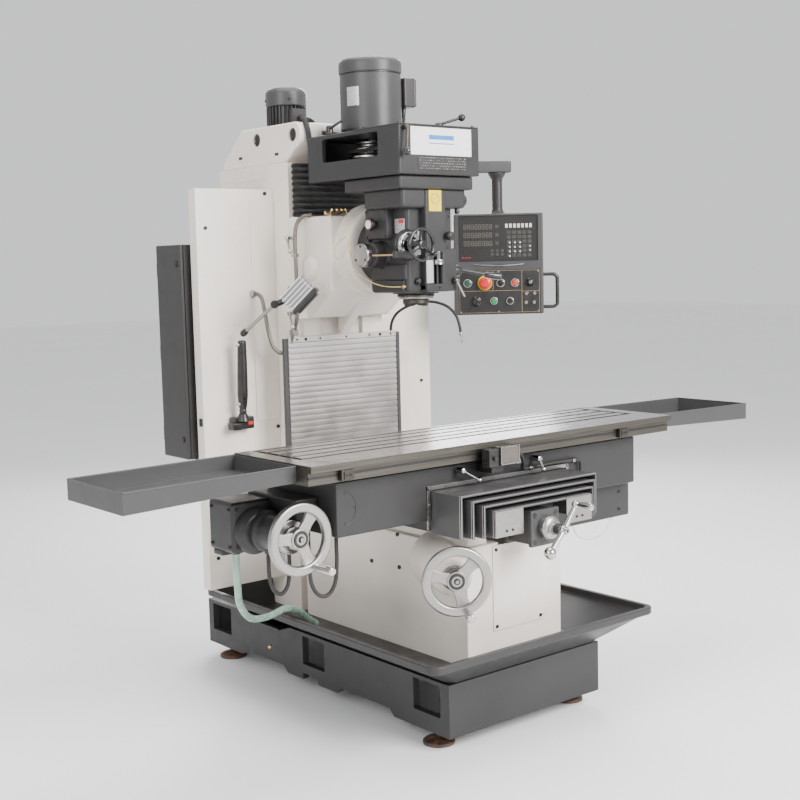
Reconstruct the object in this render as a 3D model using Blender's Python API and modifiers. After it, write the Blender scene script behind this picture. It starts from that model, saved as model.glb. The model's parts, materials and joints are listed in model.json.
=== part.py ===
"""Bed-type vertical milling machine, built as separate sub-parts on joint empties.

Machine coordinates: X runs along the table to the right, Y runs into the machine from the base's
front edge, Z is up from the floor. The empty "milling_machine" carries DATUM_Y, which centres the
whole machine on the world origin. Every moving sub-part is parented to an empty on its joint's axis.
"""
import math

import bmesh
import bpy
from mathutils import Matrix, Vector

# ---------------------------------------------------------------- driving dimensions (metres)
DATUM_Y = -0.584            # machine Y of 0 lies this far from the world origin
GAP = 0.0004                # clearance between neighbouring solids

BASE_HALF, BASE_DEPTH = 0.3275, 1.388
BASE_BOTTOM, BASE_TOP = 0.046, 0.212
WALL = 0.026                # casting wall
POCKET_W, POCKET_H, POCKET_Z = 0.126, 0.098, 0.150
FOOT_Y = (0.100, 1.290)
FOOT_X = 0.285

TRAY_HALF, TRAY_FRONT, TRAY_REAR = 0.481, -0.116, 1.150
TRAY_RIM, TRAY_FLANGE = 0.324, 0.302

BED_HALF, BED_FRONT, BED_REAR, BED_TOP = 0.204, 0.048, 0.905, 0.600
COLUMN_FRONT, COLUMN_REAR, COLUMN_TOP = 0.945, 1.398, 1.822
CABINET_REAR = 1.275            # back of the electrical cabinet beside the column
COLUMN_HALF = 0.200
GUARD_Y, GUARD_HALF, GUARD_TOP, GUARD_BOTTOM = 1.045, 0.515, 1.734, 0.340

SADDLE_HALF, SADDLE_FRONT, SADDLE_REAR = 0.640, 0.110, 0.470
SADDLE_BOTTOM, SADDLE_TOP = 0.690, 0.850
TABLE_HALF, TABLE_FRONT, TABLE_REAR, TABLE_TOP = 0.765, 0.050, 0.445, 0.917
TABLE_BOTTOM = 0.8604
SLOT_PITCH, SLOT_MOUTH, SLOT_MIDDLE = 0.0635, 0.016, 0.309
TRAY_END = 1.296            # X of the coolant trays' outer ends

WHEEL_RADIUS = 0.105
X_WHEEL = Vector((-0.752, 0.132, 0.702))
Z_WHEEL = Vector((-0.310, -0.025, 0.531))
Z_WHEEL_TURN = math.radians(31.0)   # of its axis, from -Y towards -X
CRANK = Vector((0.0, -0.125, 0.657))

SPINDLE_Y = 0.505
TILT_Z = 1.511              # height of the head's swivel axis
BOSS_RADIUS = 0.150
CARRIAGE_HALF, CARRIAGE_FRONT, CARRIAGE_REAR = 0.175, 0.740, 0.925
CARRIAGE_BOTTOM, CARRIAGE_TOP = 1.280, 1.632
HOUSING_HALF, HOUSING_FRONT, HOUSING_REAR = 0.171, 0.366, 0.866
HOUSING_BOTTOM, HOUSING_TOP = 1.744, 1.900
MOTOR_Y, MOTOR_RADIUS, MOTOR_TOP = 0.722, 0.105, 2.157
NOSE_BOTTOM = 1.326
QUILL_RADIUS = 0.052

ARM_PIVOT = Vector((0.255, 0.930, 1.815))
ARM_TURN = math.radians(-27.3)      # of the arm, from +X
ARM_LENGTH = 0.475
PENDANT_TURN = math.radians(-39.0)  # of the pendant's face, from -Y towards -X
PENDANT_W, PENDANT_D, PENDANT_H = 0.336, 0.075, 0.378
PENDANT_Z = 1.453
BUTTON_TRAVEL = 0.004

LAMP_PIVOT = Vector((-0.385, 0.998, 0.965))


# ---------------------------------------------------------------- materials
def material(name, colour, roughness, metallic=0.0):
    mat = bpy.data.materials.new(name)
    mat.use_nodes = True
    shader = mat.node_tree.nodes["Principled BSDF"]
    shader.inputs["Base Color"].default_value = (*colour, 1.0)
    shader.inputs["Roughness"].default_value = roughness
    shader.inputs["Metallic"].default_value = metallic
    mat.diffuse_color = (*colour, 1.0)
    return mat


# ---------------------------------------------------------------- placing and joining
def start_scene():
    for obj in list(bpy.data.objects):
        bpy.data.objects.remove(obj)
    for name in ("vertical_milling_machine", "cutters"):
        bpy.context.scene.collection.children.link(bpy.data.collections.new(name))


def empty(name, location, parent=None):
    obj = bpy.data.objects.new(name, None)
    bpy.data.collections["vertical_milling_machine"].objects.link(obj)
    obj.location = location
    obj.parent = parent
    obj.empty_display_size = 0.05
    if parent is not None and parent.parent is not None:
        obj.matrix_parent_inverse = Matrix.Translation(-machine_place(parent))
    return obj


def machine_place(joint_empty):
    """Where a joint's empty is, in machine coordinates."""
    return Vector(joint_empty.location)


def link(obj, joint_empty, mat=None, turn=None):
    """Put an object in the model under its body's empty, keeping its machine coordinates."""
    bpy.data.collections["vertical_milling_machine"].objects.link(obj)
    if mat is not None:
        obj.data.materials.append(mat)
    if turn is not None:
        obj.rotation_mode = "QUATERNION"
        obj.rotation_quaternion = turn
    obj.parent = joint_empty
    if joint_empty.parent is not None:
        obj.matrix_parent_inverse = Matrix.Translation(-machine_place(joint_empty))
    return obj


def as_tool(obj):
    """Hide a shape that only cuts or joins another."""
    bpy.data.collections["vertical_milling_machine"].objects.unlink(obj)
    bpy.data.collections["cutters"].objects.link(obj)
    obj.hide_render = True
    obj.display_type = "WIRE"
    return obj


def boolean(obj, tool, operation):
    as_tool(tool)
    modifier = obj.modifiers.new(operation.lower(), "BOOLEAN")
    modifier.operation = operation
    modifier.solver = "EXACT"
    modifier.object = tool
    return obj


def cut(obj, *tools):
    for tool in tools:
        boolean(obj, tool, "DIFFERENCE")
    return obj


def join(obj, *tools):
    for tool in tools:
        boolean(obj, tool, "UNION")
    return obj


def bevel(obj, width, segments=2, angle=40.0):
    modifier = obj.modifiers.new("rounded edges", "BEVEL")
    modifier.width = width
    modifier.segments = segments
    modifier.limit_method = "ANGLE"
    modifier.angle_limit = math.radians(angle)
    modifier.use_clamp_overlap = True
    return obj


def facing(direction):
    """Rotation that turns +Z to a direction."""
    return Vector(direction).to_track_quat("Z", "Y")


# ---------------------------------------------------------------- basic shapes
def box(name, body, mat, low, high, turn=None):
    """A box between two corners, or about the corners' middle when it is turned."""
    low, high = Vector(low), Vector(high)
    mesh = bpy.data.meshes.new(name)
    shape = bmesh.new()
    bmesh.ops.create_cube(shape, size=1.0)
    bmesh.ops.scale(shape, vec=high - low, verts=shape.verts)
    shape.to_mesh(mesh)
    shape.free()
    obj = bpy.data.objects.new(name, mesh)
    obj.location = (low + high) / 2
    return link(obj, body, mat, turn)


def cone(name, body, mat, centre, radius, radius_top, length, direction=(0, 0, 1), sides=28):
    """A cone or cylinder about its middle, its second radius at the end that direction points to."""
    mesh = bpy.data.meshes.new(name)
    shape = bmesh.new()
    bmesh.ops.create_cone(shape, cap_ends=True, segments=sides, radius1=radius, radius2=radius_top,
                          depth=length)
    shape.to_mesh(mesh)
    shape.free()
    mesh.shade_smooth()
    mesh.set_sharp_from_angle(angle=math.radians(40))
    obj = bpy.data.objects.new(name, mesh)
    obj.location = centre
    return link(obj, body, mat, facing(direction))


def cylinder(name, body, mat, centre, radius, length, direction=(0, 0, 1), sides=28):
    return cone(name, body, mat, centre, radius, radius, length, direction, sides)


def ball(name, body, mat, centre, radius):
    mesh = bpy.data.meshes.new(name)
    shape = bmesh.new()
    bmesh.ops.create_uvsphere(shape, u_segments=14, v_segments=8, radius=radius)
    shape.to_mesh(mesh)
    shape.free()
    mesh.shade_smooth()
    obj = bpy.data.objects.new(name, mesh)
    obj.location = centre
    return link(obj, body, mat)


def turned(name, body, mat, centre, profile, direction=(0, 0, 1), steps=28):
    """A lathe shape: profile holds (radius, height) from the top down its outer side."""
    mesh = bpy.data.meshes.new(name)
    rows = [(radius, 0.0, height) for radius, height in profile]
    edges = [(i, i + 1) for i in range(len(rows) - 1)]
    if profile[0][0] > 0:
        edges.append((len(rows) - 1, 0))
    mesh.from_pydata(rows, edges, [])
    obj = bpy.data.objects.new(name, mesh)
    obj.location = centre
    link(obj, body, mat, facing(direction))
    screw = obj.modifiers.new("turned", "SCREW")
    screw.steps = steps
    screw.render_steps = steps
    screw.use_merge_vertices = True
    screw.merge_threshold = 0.00001
    screw.use_smooth_shade = True
    return obj


def solid_from_curve(curve, name, body, mat, place):
    """Turn a filled curve into a welded mesh object at a place."""
    maker = bpy.data.objects.new(name + " outline", curve)
    bpy.context.scene.collection.objects.link(maker)
    bpy.context.view_layer.update()
    mesh = bpy.data.meshes.new_from_object(maker.evaluated_get(bpy.context.evaluated_depsgraph_get()))
    bpy.data.objects.remove(maker)
    shape = bmesh.new()
    shape.from_mesh(mesh)
    bmesh.ops.remove_doubles(shape, verts=shape.verts, dist=0.00001)
    bmesh.ops.recalc_face_normals(shape, faces=shape.faces)
    shape.to_mesh(mesh)
    shape.free()
    mesh.materials.clear()
    obj = bpy.data.objects.new(name, mesh)
    obj.location = place.to_translation()
    return link(obj, body, mat, place.to_quaternion())


def prism(name, body, mat, outline, thickness, place):
    """A flat outline, thickened both ways from the place's local XY plane."""
    curve = bpy.data.curves.new(name, "CURVE")
    curve.dimensions = "2D"
    curve.fill_mode = "BOTH"
    curve.extrude = thickness / 2
    spline = curve.splines.new("POLY")
    spline.points.add(len(outline) - 1)
    for point, (u, v) in zip(spline.points, outline):
        point.co = (u, v, 0.0, 1.0)
    spline.use_cyclic_u = True
    return solid_from_curve(curve, name, body, mat, place)


def side_place(x):
    """Local X and Y become machine Y and Z, for an outline seen from the machine's side."""
    return Matrix.Translation((x, 0, 0)) @ Matrix(((0, 0, 1, 0), (1, 0, 0, 0), (0, 1, 0, 0), (0, 0,
                                                            0, 1)))


def front_place(y):
    """Local X and Y become machine X and Z, for an outline seen from the front."""
    return Matrix.Translation((0, y, 0)) @ Matrix.Rotation(math.radians(90), 4, "X")


def smooth_route(points, step):
    """Points at an even step along a smooth curve through a route's own points."""
    points = [Vector(p) for p in points]
    ends = [2 * points[0] - points[1]] + points + [2 * points[-1] - points[-2]]
    fine = []
    for a, b, c, d in zip(ends, ends[1:], ends[2:], ends[3:]):
        for i in range(24):
            t = i / 24
            fine.append(0.5 * (2 * b + (c - a) * t + (2 * a - 5 * b + 4 * c - d) * t ** 2
                               + (3 * b - a - 3 * c + d) * t ** 3))
    fine.append(points[-1])
    route, travelled = [fine[0]], 0.0
    for before, after in zip(fine, fine[1:]):
        travelled += (after - before).length
        if travelled >= step:
            route.append(after)
            travelled = 0.0
    if (route[-1] - fine[-1]).length < step / 2:
        route.pop()
    return route + [fine[-1]]


def tube(name, body, mat, route, radius, step=None, resolution=2):
    """A round tube or hose along a route."""
    curve = bpy.data.curves.new(name, "CURVE")
    curve.dimensions = "3D"
    curve.bevel_depth = radius
    curve.bevel_resolution = resolution
    curve.use_fill_caps = True
    route = smooth_route(route, step) if step else [Vector(p) for p in route]
    spline = curve.splines.new("POLY")
    spline.points.add(len(route) - 1)
    for point, place in zip(spline.points, route):
        point.co = (*place, 1.0)
    return solid_from_curve(curve, name, body, mat, Matrix.Identity(4))


def ring_points(radius, start, end, count):
    """Points on an arc, in degrees, as (u, v)."""
    span = math.radians(end - start)
    return [(radius * math.cos(math.radians(start) + span * i / count),
             radius * math.sin(math.radians(start) + span * i / count)) for i in range(count + 1)]


# ---------------------------------------------------------------- base, tray and bed
def make_base(body, grey, steel):
    low, high = BASE_BOTTOM, BASE_TOP
    raised = low + 0.022
    outline = [(0, low), (0.266, low), (0.288, raised), (0.540, raised), (0.570, low), (0.676, low),
               (0.676, raised), (0.765, raised), (0.765, low), (0.858, low), (0.882, raised),
               (1.095, raised), (1.160, low), (BASE_DEPTH, low), (BASE_DEPTH, high), (0, high)]
    base = prism("base_casting", body, grey, outline, 2 * BASE_HALF, side_place(0))
    cut(base, box("base hollow", body, grey, (WALL - BASE_HALF, WALL, low - 0.02),
                  (BASE_HALF - WALL, BASE_DEPTH - WALL, high - WALL)))
    for y in (0.105, 0.700, 1.292):
        cut(base, box("fork pocket", body, grey, (-1, y - POCKET_W / 2, POCKET_Z - POCKET_H / 2),
                      (1, y + POCKET_W / 2, POCKET_Z + POCKET_H / 2)))
    corners = [(side * FOOT_X, y) for y in FOOT_Y for side in (-1, 1)]
    for x, y in corners:
        join(base, cylinder("foot boss", body, grey, (x, y, low + 0.020), 0.026, 0.032, sides=16))
    names = ("front_left", "front_right", "rear_left", "rear_right")
    profile = [(0, low + 0.003), (0.010, low + 0.003), (0.010, 0.020), (0.030, 0.016),
               (0.050, 0.010), (0.050, 0.0), (0, 0.0)]
    for name, (x, y) in zip(names, corners):
        turned("levelling_foot_" + name, body, steel, (x, y, 0), profile, steps=20)


def make_tray(body, grey):
    """The splash tray: a flared rim that stands on the base, open over the base's deck."""
    sheet = 0.012
    foot = BASE_HALF - 0.012
    front, rear = 0.004, TRAY_REAR
    rim_low, rim_high = TRAY_FLANGE, TRAY_RIM
    tray = box("splash_tray", body, grey, (-TRAY_HALF, TRAY_FRONT, rim_low), (TRAY_HALF, rear, rim_high))
    join(tray, flared_block("tray flare", body, grey, (foot, front, rear), BASE_TOP + GAP,
                            (TRAY_HALF, TRAY_FRONT, rear), rim_low + 0.001))
    cut(tray, box("tray mouth", body, grey, (sheet - TRAY_HALF, TRAY_FRONT + sheet, rim_low - 0.001),
                  (TRAY_HALF - sheet, rear - sheet, rim_high + 0.02)))
    cut(tray, flared_block("tray hollow", body, grey, (foot - sheet, front + sheet, rear - sheet),
                           BASE_TOP + 0.012, (TRAY_HALF - sheet, TRAY_FRONT + sheet, rear - sheet),
                           rim_low))
    cut(tray, box("bed opening", body, grey, (-BED_HALF - GAP, BED_FRONT - GAP, 0.1),
                  (BED_HALF + GAP, 2.0, 0.5)))
    return tray


def flared_block(name, body, mat, low_plan, low_z, high_plan, high_z):
    """A block whose plan (half width, front, rear) changes evenly from its foot to its top."""
    obj = box(name, body, mat, (-1, 0, low_z), (1, 1, high_z))
    for vertex in obj.data.vertices:
        half, front, rear = low_plan if vertex.co.z < 0 else high_plan
        vertex.co.x = math.copysign(half, vertex.co.x)
        vertex.co.y = (front if vertex.co.y < 0 else rear) - obj.location.y
    return obj


def make_bed(body, white, steel):
    """Bed casting with two guideways on top and the seat of the elevating drive on its left."""
    floor = BASE_TOP + GAP
    outline = [(BED_FRONT, floor), (BED_REAR, floor), (BED_REAR, BED_TOP), (BED_FRONT, BED_TOP)]
    bed = prism("bed", body, white, outline, 2 * BED_HALF, side_place(0))
    for side in (-1, 1):
        join(bed, box("guideway", body, white, (side * 0.150 - 0.040, BED_FRONT + 0.01, BED_TOP - 0.01),
                      (side * 0.150 + 0.040, BED_REAR - 0.01, BED_TOP + 0.040)))
    cut(bed, box("screw trough", body, white, (-0.070, BED_FRONT - 0.05, BED_TOP - 0.07),
                 (0.070, BED_REAR - 0.04, BED_TOP + 0.01)))
    bracket = box("y_screw_bracket", body, steel, (-0.065, -0.060, 0.618), (0.065, BED_FRONT + 0.006,
                                                            0.698))
    cut(bracket, box("bracket step", body, steel, (-0.1, BED_FRONT - GAP, 0.5), (0.1, 0.1,
                                                            BED_TOP + 0.0404)))
    join(bracket, box("bracket foot", body, steel, (-0.060, 0.010, 0.530), (0.060, BED_FRONT - GAP,
                                                            0.625)))
    join(bracket, cylinder("bearing", body, steel, (0, -0.070, CRANK.z), 0.034, 0.030, (0, -1, 0), 20))
    axis = Vector((-math.sin(Z_WHEEL_TURN), -math.cos(Z_WHEEL_TURN), 0))
    centre = Z_WHEEL - axis * 0.145
    housing = cone("z_drive_housing", body, white, centre, 0.085, 0.062, 0.200, axis, 28)
    cut(housing, box("bed wall", body, white, (-BED_HALF - GAP, -1, 0), (1, 2, 2)))
    return bed


# ---------------------------------------------------------------- column group
def make_column(body, white, grey):
    outline = [(COLUMN_FRONT, BASE_TOP + GAP), (COLUMN_REAR, BASE_TOP + GAP), (COLUMN_REAR, COLUMN_TOP),
               (COLUMN_FRONT, COLUMN_TOP)]
    column = prism("column", body, white, outline, 2 * COLUMN_HALF, side_place(0))
    cut(column, box("counterweight shaft", body, white, (-0.16, 1.02, 0.24), (0.16,
                                                            COLUMN_REAR - 0.03, 2.0)))
    for side in (-1, 1):
        join(column, box("column way", body, white, (side * 0.13 - 0.035, COLUMN_FRONT - 0.018, 0.70),
                         (side * 0.13 + 0.035, COLUMN_FRONT + 0.01, COLUMN_TOP - 0.02)))
    join(column,
         box("arm lug", body, white, (COLUMN_HALF - 0.01, 0.950, 1.757), (0.262, 0.990, 1.7925)),
         cylinder("arm seat", body, white, ARM_PIVOT - Vector((0, 0, 0.042)), 0.026, 0.0400, sides=20))
    make_guards(body, white)
    make_cabinet(body, grey)
    cover_half = 0.185
    outline = [(COLUMN_REAR, COLUMN_TOP + GAP), (COLUMN_REAR, 1.850), (1.330, 1.906), (1.262, 1.962),
               (0.925, 1.962), (0.893, 1.946), (0.884, 1.916), (0.890, 1.886), (0.915, 1.868),
               (0.985, COLUMN_TOP + GAP)]
    cover = prism("top_cover", body, white, outline, 2 * cover_half, side_place(0))
    bevel(cover, 0.006, 2, 50)
    profile = [(0, 2.120), (0.060, 2.118), (0.074, 2.108), (0.0765, 2.096), (0.0765, 2.052),
               (0.070, 2.046), (0.070, 1.9666), (0.088, 1.9666), (0.088, 1.9624), (0, 1.9624)]
    turned("lift_motor", body, grey, (0, 1.235, 0), profile, steps=32)


def make_guards(body, white):
    """Folded sheet guards beside the column, each with a lip along its outer edge and its top."""
    sheet = 0.003
    for side, name in ((-1, "guard_left"), (1, "guard_right")):
        inner, outer = side * (COLUMN_HALF + GAP), side * GUARD_HALF
        low, high = min(inner, outer), max(inner, outer)
        guard = box(name, body, white, (low, GUARD_Y, GUARD_BOTTOM), (high, GUARD_Y + sheet, GUARD_TOP))
        edge = outer - side * sheet
        join(guard,
             box("outer fold", body, white, (min(edge, outer), GUARD_Y, GUARD_BOTTOM),
                 (max(edge, outer), GUARD_Y + 0.045, GUARD_TOP)),
             box("top fold", body, white, (low, GUARD_Y, GUARD_TOP - sheet), (high, GUARD_Y + 0.045,
                                                            GUARD_TOP)),
             box("inner fold", body, white, (min(inner, inner + side * sheet), GUARD_Y, GUARD_BOTTOM),
                 (max(inner, inner + side * sheet), GUARD_Y + 0.045, GUARD_TOP)))


def make_cabinet(body, grey):
    low, high = Vector((-0.548, 1.105, 0.800)), Vector((-COLUMN_HALF - GAP, CABINET_REAR, 1.546))
    cabinet = box("electrical_cabinet", body, grey, low + Vector((0.014, 0, 0)), high)
    cut(cabinet, box("cabinet inside", body, grey, (low.x, low.y + 0.015, low.z + 0.015),
                     (high.x - 0.015, high.y - 0.015, high.z - 0.015)))
    door_pin = empty("door hinge", (low.x + 0.006, high.y, 1.17), body)
    door = box("cabinet_door", door_pin, grey, low, (low.x + 0.014 - GAP, high.y, high.z))
    bevel(door, 0.003, 1)


def make_covers(body, black, aluminium):
    """Bellows above the carriage, louvred apron below it."""
    pleats, low, high = 8, CARRIAGE_TOP + 0.012, COLUMN_TOP - 0.004
    pitch = (high - low) / pleats
    outer, inner = 0.905, 0.9265 - GAP
    outline = [(inner, low), (inner, high)]
    for i in range(pleats, 0, -1):
        top = low + pitch * i
        outline += [(outer + 0.012, top - 0.001), (outer, top - pitch * 0.5)]
    outline.append((outer + 0.012, low))
    prism("upper_bellows", body, black, outline, 0.400, side_place(0))
    slats, low, high = 28, 0.655, 1.2164
    pitch = (high - low) / slats
    back, front = 0.9265 - GAP, 0.9145
    outline = [(back, low), (back, high)]
    for i in range(slats, 0, -1):
        top = low + pitch * i
        outline += [(front, top - 0.0005), (front, top - pitch * 0.88), (front + 0.003, top - pitch)]
    prism("slat_apron", body, aluminium, outline, 0.482, side_place(0))


# ---------------------------------------------------------------- saddle, table and their drives
def make_saddle(saddle, grey, steel):
    """Long saddle with a cross slide on the bed ways and a housing under its right end."""
    body = box("saddle", saddle, grey, (-SADDLE_HALF, SADDLE_FRONT, SADDLE_BOTTOM),
               (SADDLE_HALF, SADDLE_REAR, SADDLE_TOP))
    join(body,
         box("slide foot", saddle, grey, (-0.250, SADDLE_FRONT, BED_TOP + 0.0404 + GAP),
             (0.250, SADDLE_REAR, SADDLE_BOTTOM + 0.01)),
         box("right housing", saddle, grey, (0.215, SADDLE_FRONT + 0.045, 0.566),
             (SADDLE_HALF + 0.022, SADDLE_REAR, 0.735)))
    cut(body, box("nut clearance", saddle, grey, (-0.060, 0, 0.60), (0.060, 1, 0.70)))
    for name, x, reach in (("saddle_lock_left", -0.185, 0.056), ("saddle_lock_right", 0.141, 0.008)):
        z = 0.833
        pin = empty(name + " pin", (x, 0.085, z), saddle)
        stub = cylinder(name, pin, steel, (x, 0.0895, z), 0.009, 0.040, (0, -1, 0), 14)
        end = (x + reach, 0.066, z - 0.034)
        join(stub, tube("lock arm", pin, steel, [(x, 0.076, z), (x + reach / 2, 0.072, z - 0.017),
                                                 end], 0.005),
             ball("lock ball", pin, steel, end, 0.009))


def make_x_drive(saddle, grey, aluminium):
    gearbox = box("x_gearbox", saddle, grey, (-0.850, 0.330, 0.640), (-0.700, 0.465, 0.790))
    bevel(gearbox, 0.006, 2)
    join(gearbox,
         box("gearbox arm", saddle, grey, (-0.720, 0.200, 0.735), (-SADDLE_HALF - GAP, 0.455, 0.800)),
         cone("shaft housing", saddle, grey, (X_WHEEL.x, 0.255, X_WHEEL.z), 0.052, 0.047, 0.160, (0,
                                                            -1, 0), 28))
    pin = empty("x handwheel axis", X_WHEEL, saddle)
    handwheel("x_handwheel", pin, aluminium, X_WHEEL, Vector((0, -1, 0)), -65)
    return gearbox


def handwheel(name, body, mat, centre, axis, grip_angle):
    """Dished handwheel: rim, three spokes, hub and a turning grip."""
    turn = facing(axis)
    rim = turned(name, body, mat, centre, [(WHEEL_RADIUS - 0.003, 0.010), (WHEEL_RADIUS, 0.004),
                 (WHEEL_RADIUS, -0.006), (WHEEL_RADIUS - 0.004, -0.011), (0.082, -0.011), (0.079, -0.004),
                 (0.080, 0.008), (0.084, 0.011)], axis, 32)
    hub = turned("hub", body, mat, centre, [(0, 0.012), (0.026, 0.010), (0.030, 0.006), (0.030, -0.026),
                 (0.024, -0.040), (0, -0.040)], axis, 20)
    join(rim, hub)
    for i in range(3):
        angle = math.radians(grip_angle + 120 * i)
        out = turn @ Vector((math.cos(angle), math.sin(angle), 0))
        spoke = box("spoke", body, mat, (-0.031, -0.014, -0.005), (0.031, 0.014, 0.005))
        spoke.location = centre + out * 0.056 - axis * 0.006
        spoke.rotation_mode = "QUATERNION"
        spoke.rotation_quaternion = turn @ facing((math.cos(angle), math.sin(angle), 0)) @ \
            Vector((1, 0, 0)).rotation_difference(Vector((0, 0, 1)))
        join(rim, spoke)
    angle = math.radians(grip_angle)
    seat = centre + turn @ Vector((0.091 * math.cos(angle), 0.091 * math.sin(angle), 0.0))
    join(rim, cone("grip", body, mat, seat + axis * 0.050, 0.0085, 0.013, 0.096, axis, 16))
    return rim


def make_way_cover(root, bodies, grey):
    """Four nested boxes over the Y screw: the widest on the saddle, the narrowest on the bed."""
    rows = (("y_cover_1", bodies["saddle"], 0.290, 0.780, SADDLE_FRONT - GAP, -0.030),
            ("y_cover_2", bodies["cover_2"], 0.262, 0.764, 0.098, -0.050),
            ("y_cover_3", bodies["cover_3"], 0.234, 0.748, 0.088, -0.068),
            ("y_cover_4", root, 0.206, 0.732, 0.078, -0.083))
    sheet = 0.005
    for name, body, half, top, rear, front in rows:
        low = 0.6515
        outline = [(-half, low), (-half, top), (half, top), (half, low), (half - sheet, low),
                   (half - sheet, top - sheet), (sheet - half, top - sheet), (sheet - half, low)]
        prism(name, body, grey, outline, rear - front, front_place((rear + front) / 2))


def make_crank(body, steel):
    """Y crank: dial, hub, a straight arm with a ball at one end and a grip at the other."""
    profile = [(0, 0.040), (0.012, 0.040), (0.014, 0.020), (0.030, 0.016), (0.034, -0.004),
               (0.034, -0.0385), (0, -0.0385)]
    hub = turned("y_crank", body, steel, CRANK, profile, (0, -1, 0), 24)
    plane = CRANK + Vector((0, -0.036, 0))
    ball_end = plane + Vector((-0.060, -0.002, -0.060))
    grip_end = plane + Vector((0.052, -0.002, 0.072))
    join(hub, tube("crank arm", body, steel, [ball_end, plane, grip_end], 0.0085, resolution=2),
         ball("crank ball", body, steel, ball_end, 0.019),
         ball("grip ball", body, steel, grip_end, 0.014),
         cone("crank grip", body, steel, grip_end + Vector((0, -0.036, 0)), 0.009, 0.012, 0.066, (0,
                                                            -1, 0), 16))


def make_table(body, steel_top, grey):
    """Table with three T-slots and a coolant gutter all round them."""
    outline = [(TABLE_FRONT, 0.897), (TABLE_FRONT, TABLE_TOP), (TABLE_REAR, TABLE_TOP),
               (TABLE_REAR, 0.880), (TABLE_REAR - 0.020, 0.880), (TABLE_REAR - 0.020, TABLE_BOTTOM),
               (0.066, TABLE_BOTTOM), (0.066, 0.897)]
    table = prism("table", body, steel_top, outline, 2 * TABLE_HALF, side_place(0))
    end = TABLE_HALF - 0.070
    for i in (-1, 0, 1):
        y = SLOT_MIDDLE + i * SLOT_PITCH
        cut(table,
            box("slot mouth", body, steel_top, (-end, y - SLOT_MOUTH / 2, 0.899), (end,
                                                            y + SLOT_MOUTH / 2, 1)),
            box("slot foot", body, steel_top, (-end, y - 0.013, 0.884), (end, y + 0.013, 0.8995)))
    for low, high in (((-end, 0.180, 0), (end, 0.198, 0)), ((-end, 0.418, 0), (end, 0.432, 0)),
                      ((-end - 0.016, 0.180, 0), (-end + 0.001, 0.432, 0)),
                      ((end - 0.001, 0.180, 0), (end + 0.016, 0.432, 0))):
        cut(table, box("gutter", body, steel_top, (low[0], low[1], 0.905), (high[0], high[1], 1)))
    cut(table, box("dog slot", body, steel_top, (-1, 0.060, 0.8785), (1, 0.072, 0.8855)))
    for side, name in ((-1, "coolant_tray_left"), (1, "coolant_tray_right")):
        make_end_tray(name, side, body, grey)


def make_end_tray(name, side, body, grey):
    """Sheet tray hung on the table's end, its floor falling back to the table."""
    inner, outer = side * (TABLE_HALF + GAP), side * TRAY_END
    front, rear, sheet = 0.120, 0.442, 0.003
    outline = [(inner, 0.866), (outer, 0.848), (outer, 0.906), (inner, 0.912)]
    tray = prism(name, body, grey, outline if side > 0 else outline[::-1], rear - front,
                 front_place((rear + front) / 2))
    wall = side * sheet
    hollow = [(inner + wall, 0.866 + sheet), (outer - wall, 0.848 + sheet), (outer - wall, 0.95),
              (inner + wall, 0.95)]
    cut(tray, prism("tray hollow", body, grey, hollow if side > 0 else hollow[::-1],
                    rear - front - 2 * sheet,
                    front_place((rear + front) / 2)))


# ---------------------------------------------------------------- carriage and head
def make_carriage(body, white, steel):
    outline = [(CARRIAGE_REAR, CARRIAGE_BOTTOM), (CARRIAGE_REAR, CARRIAGE_TOP),
               (CARRIAGE_FRONT, CARRIAGE_TOP), (CARRIAGE_FRONT, 1.376), (0.868, CARRIAGE_BOTTOM)]
    carriage = prism("carriage", body, white, outline, 2 * CARRIAGE_HALF, side_place(0))
    join(carriage,
         cylinder("swivel boss", body, white, (0, 0.712, TILT_Z), BOSS_RADIUS, 0.080, (0, -1, 0), 40),
         box("way keeper", body, white, (-0.215, 0.885, CARRIAGE_BOTTOM), (0.215, CARRIAGE_REAR,
                                                            CARRIAGE_TOP)),
         cylinder("side cap", body, white, (-CARRIAGE_HALF - 0.004, 0.862, 1.452), 0.043, 0.020, (-1,
                                                            0, 0), 24))
    rib = [(0.925, 1.226), (0.925, 1.340), (0.800, 1.340), (0.900, 1.226)]
    join(carriage, prism("boss rib", body, white, rib, 0.040, side_place(0)))
    for z, name in ((1.560, "carriage_lock_upper"), (1.300, "carriage_lock_lower")):
        pin = empty(name + " pin", (-0.228, 0.905, z), body)
        stub = cylinder(name, pin, steel, (-0.230, 0.905, z), 0.008, 0.028, (-1, 0, 0), 12)
        end = (-0.246, 0.880, z - 0.045)
        join(stub, tube("lock arm", pin, steel, [(-0.238, 0.905, z), (-0.242, 0.895, z - 0.022),
                                                 end], 0.0045),
             ball("lock ball", pin, steel, end, 0.008))


def make_head(head, grey):
    """Quill head casting with its front pilaster and the steps that carry the belt housing."""
    casting = box("head_casting", head, grey, (-0.098, 0.425, 1.366), (0.098, 0.625, 1.650))
    join(casting,
         cylinder("swivel plate", head, grey, (0, 0.640, TILT_Z), 0.118, 0.0588, (0, -1, 0), 36),
         box("lower step", head, grey, (-0.138, 0.398, 1.640), (0.138, 0.600, 1.706)),
         box("upper step", head, grey, (-0.158, 0.382, 1.700), (0.158, 0.680, HOUSING_BOTTOM - GAP)),
         box("pilaster", head, grey, (-0.045, 0.393, 1.372), (0.045, 0.430, 1.645)),
         cylinder("quill sleeve", head, grey, (0, SPINDLE_Y, 1.372), 0.080, 0.020, (0, 0, -1), 32),
         cylinder("feed box", head, grey, (-0.120, 0.560, 1.493), 0.042, 0.060, (-1, 0, 0), 24),
         box("gear case", head, grey, (-0.126, 0.500, 1.548), (-0.090, 0.600, 1.638)))
    cut(casting, cylinder("quill bore", head, grey, (0, SPINDLE_Y, 1.50), QUILL_RADIUS + 0.0005,
                          0.50, sides=28))
    return casting


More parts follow.
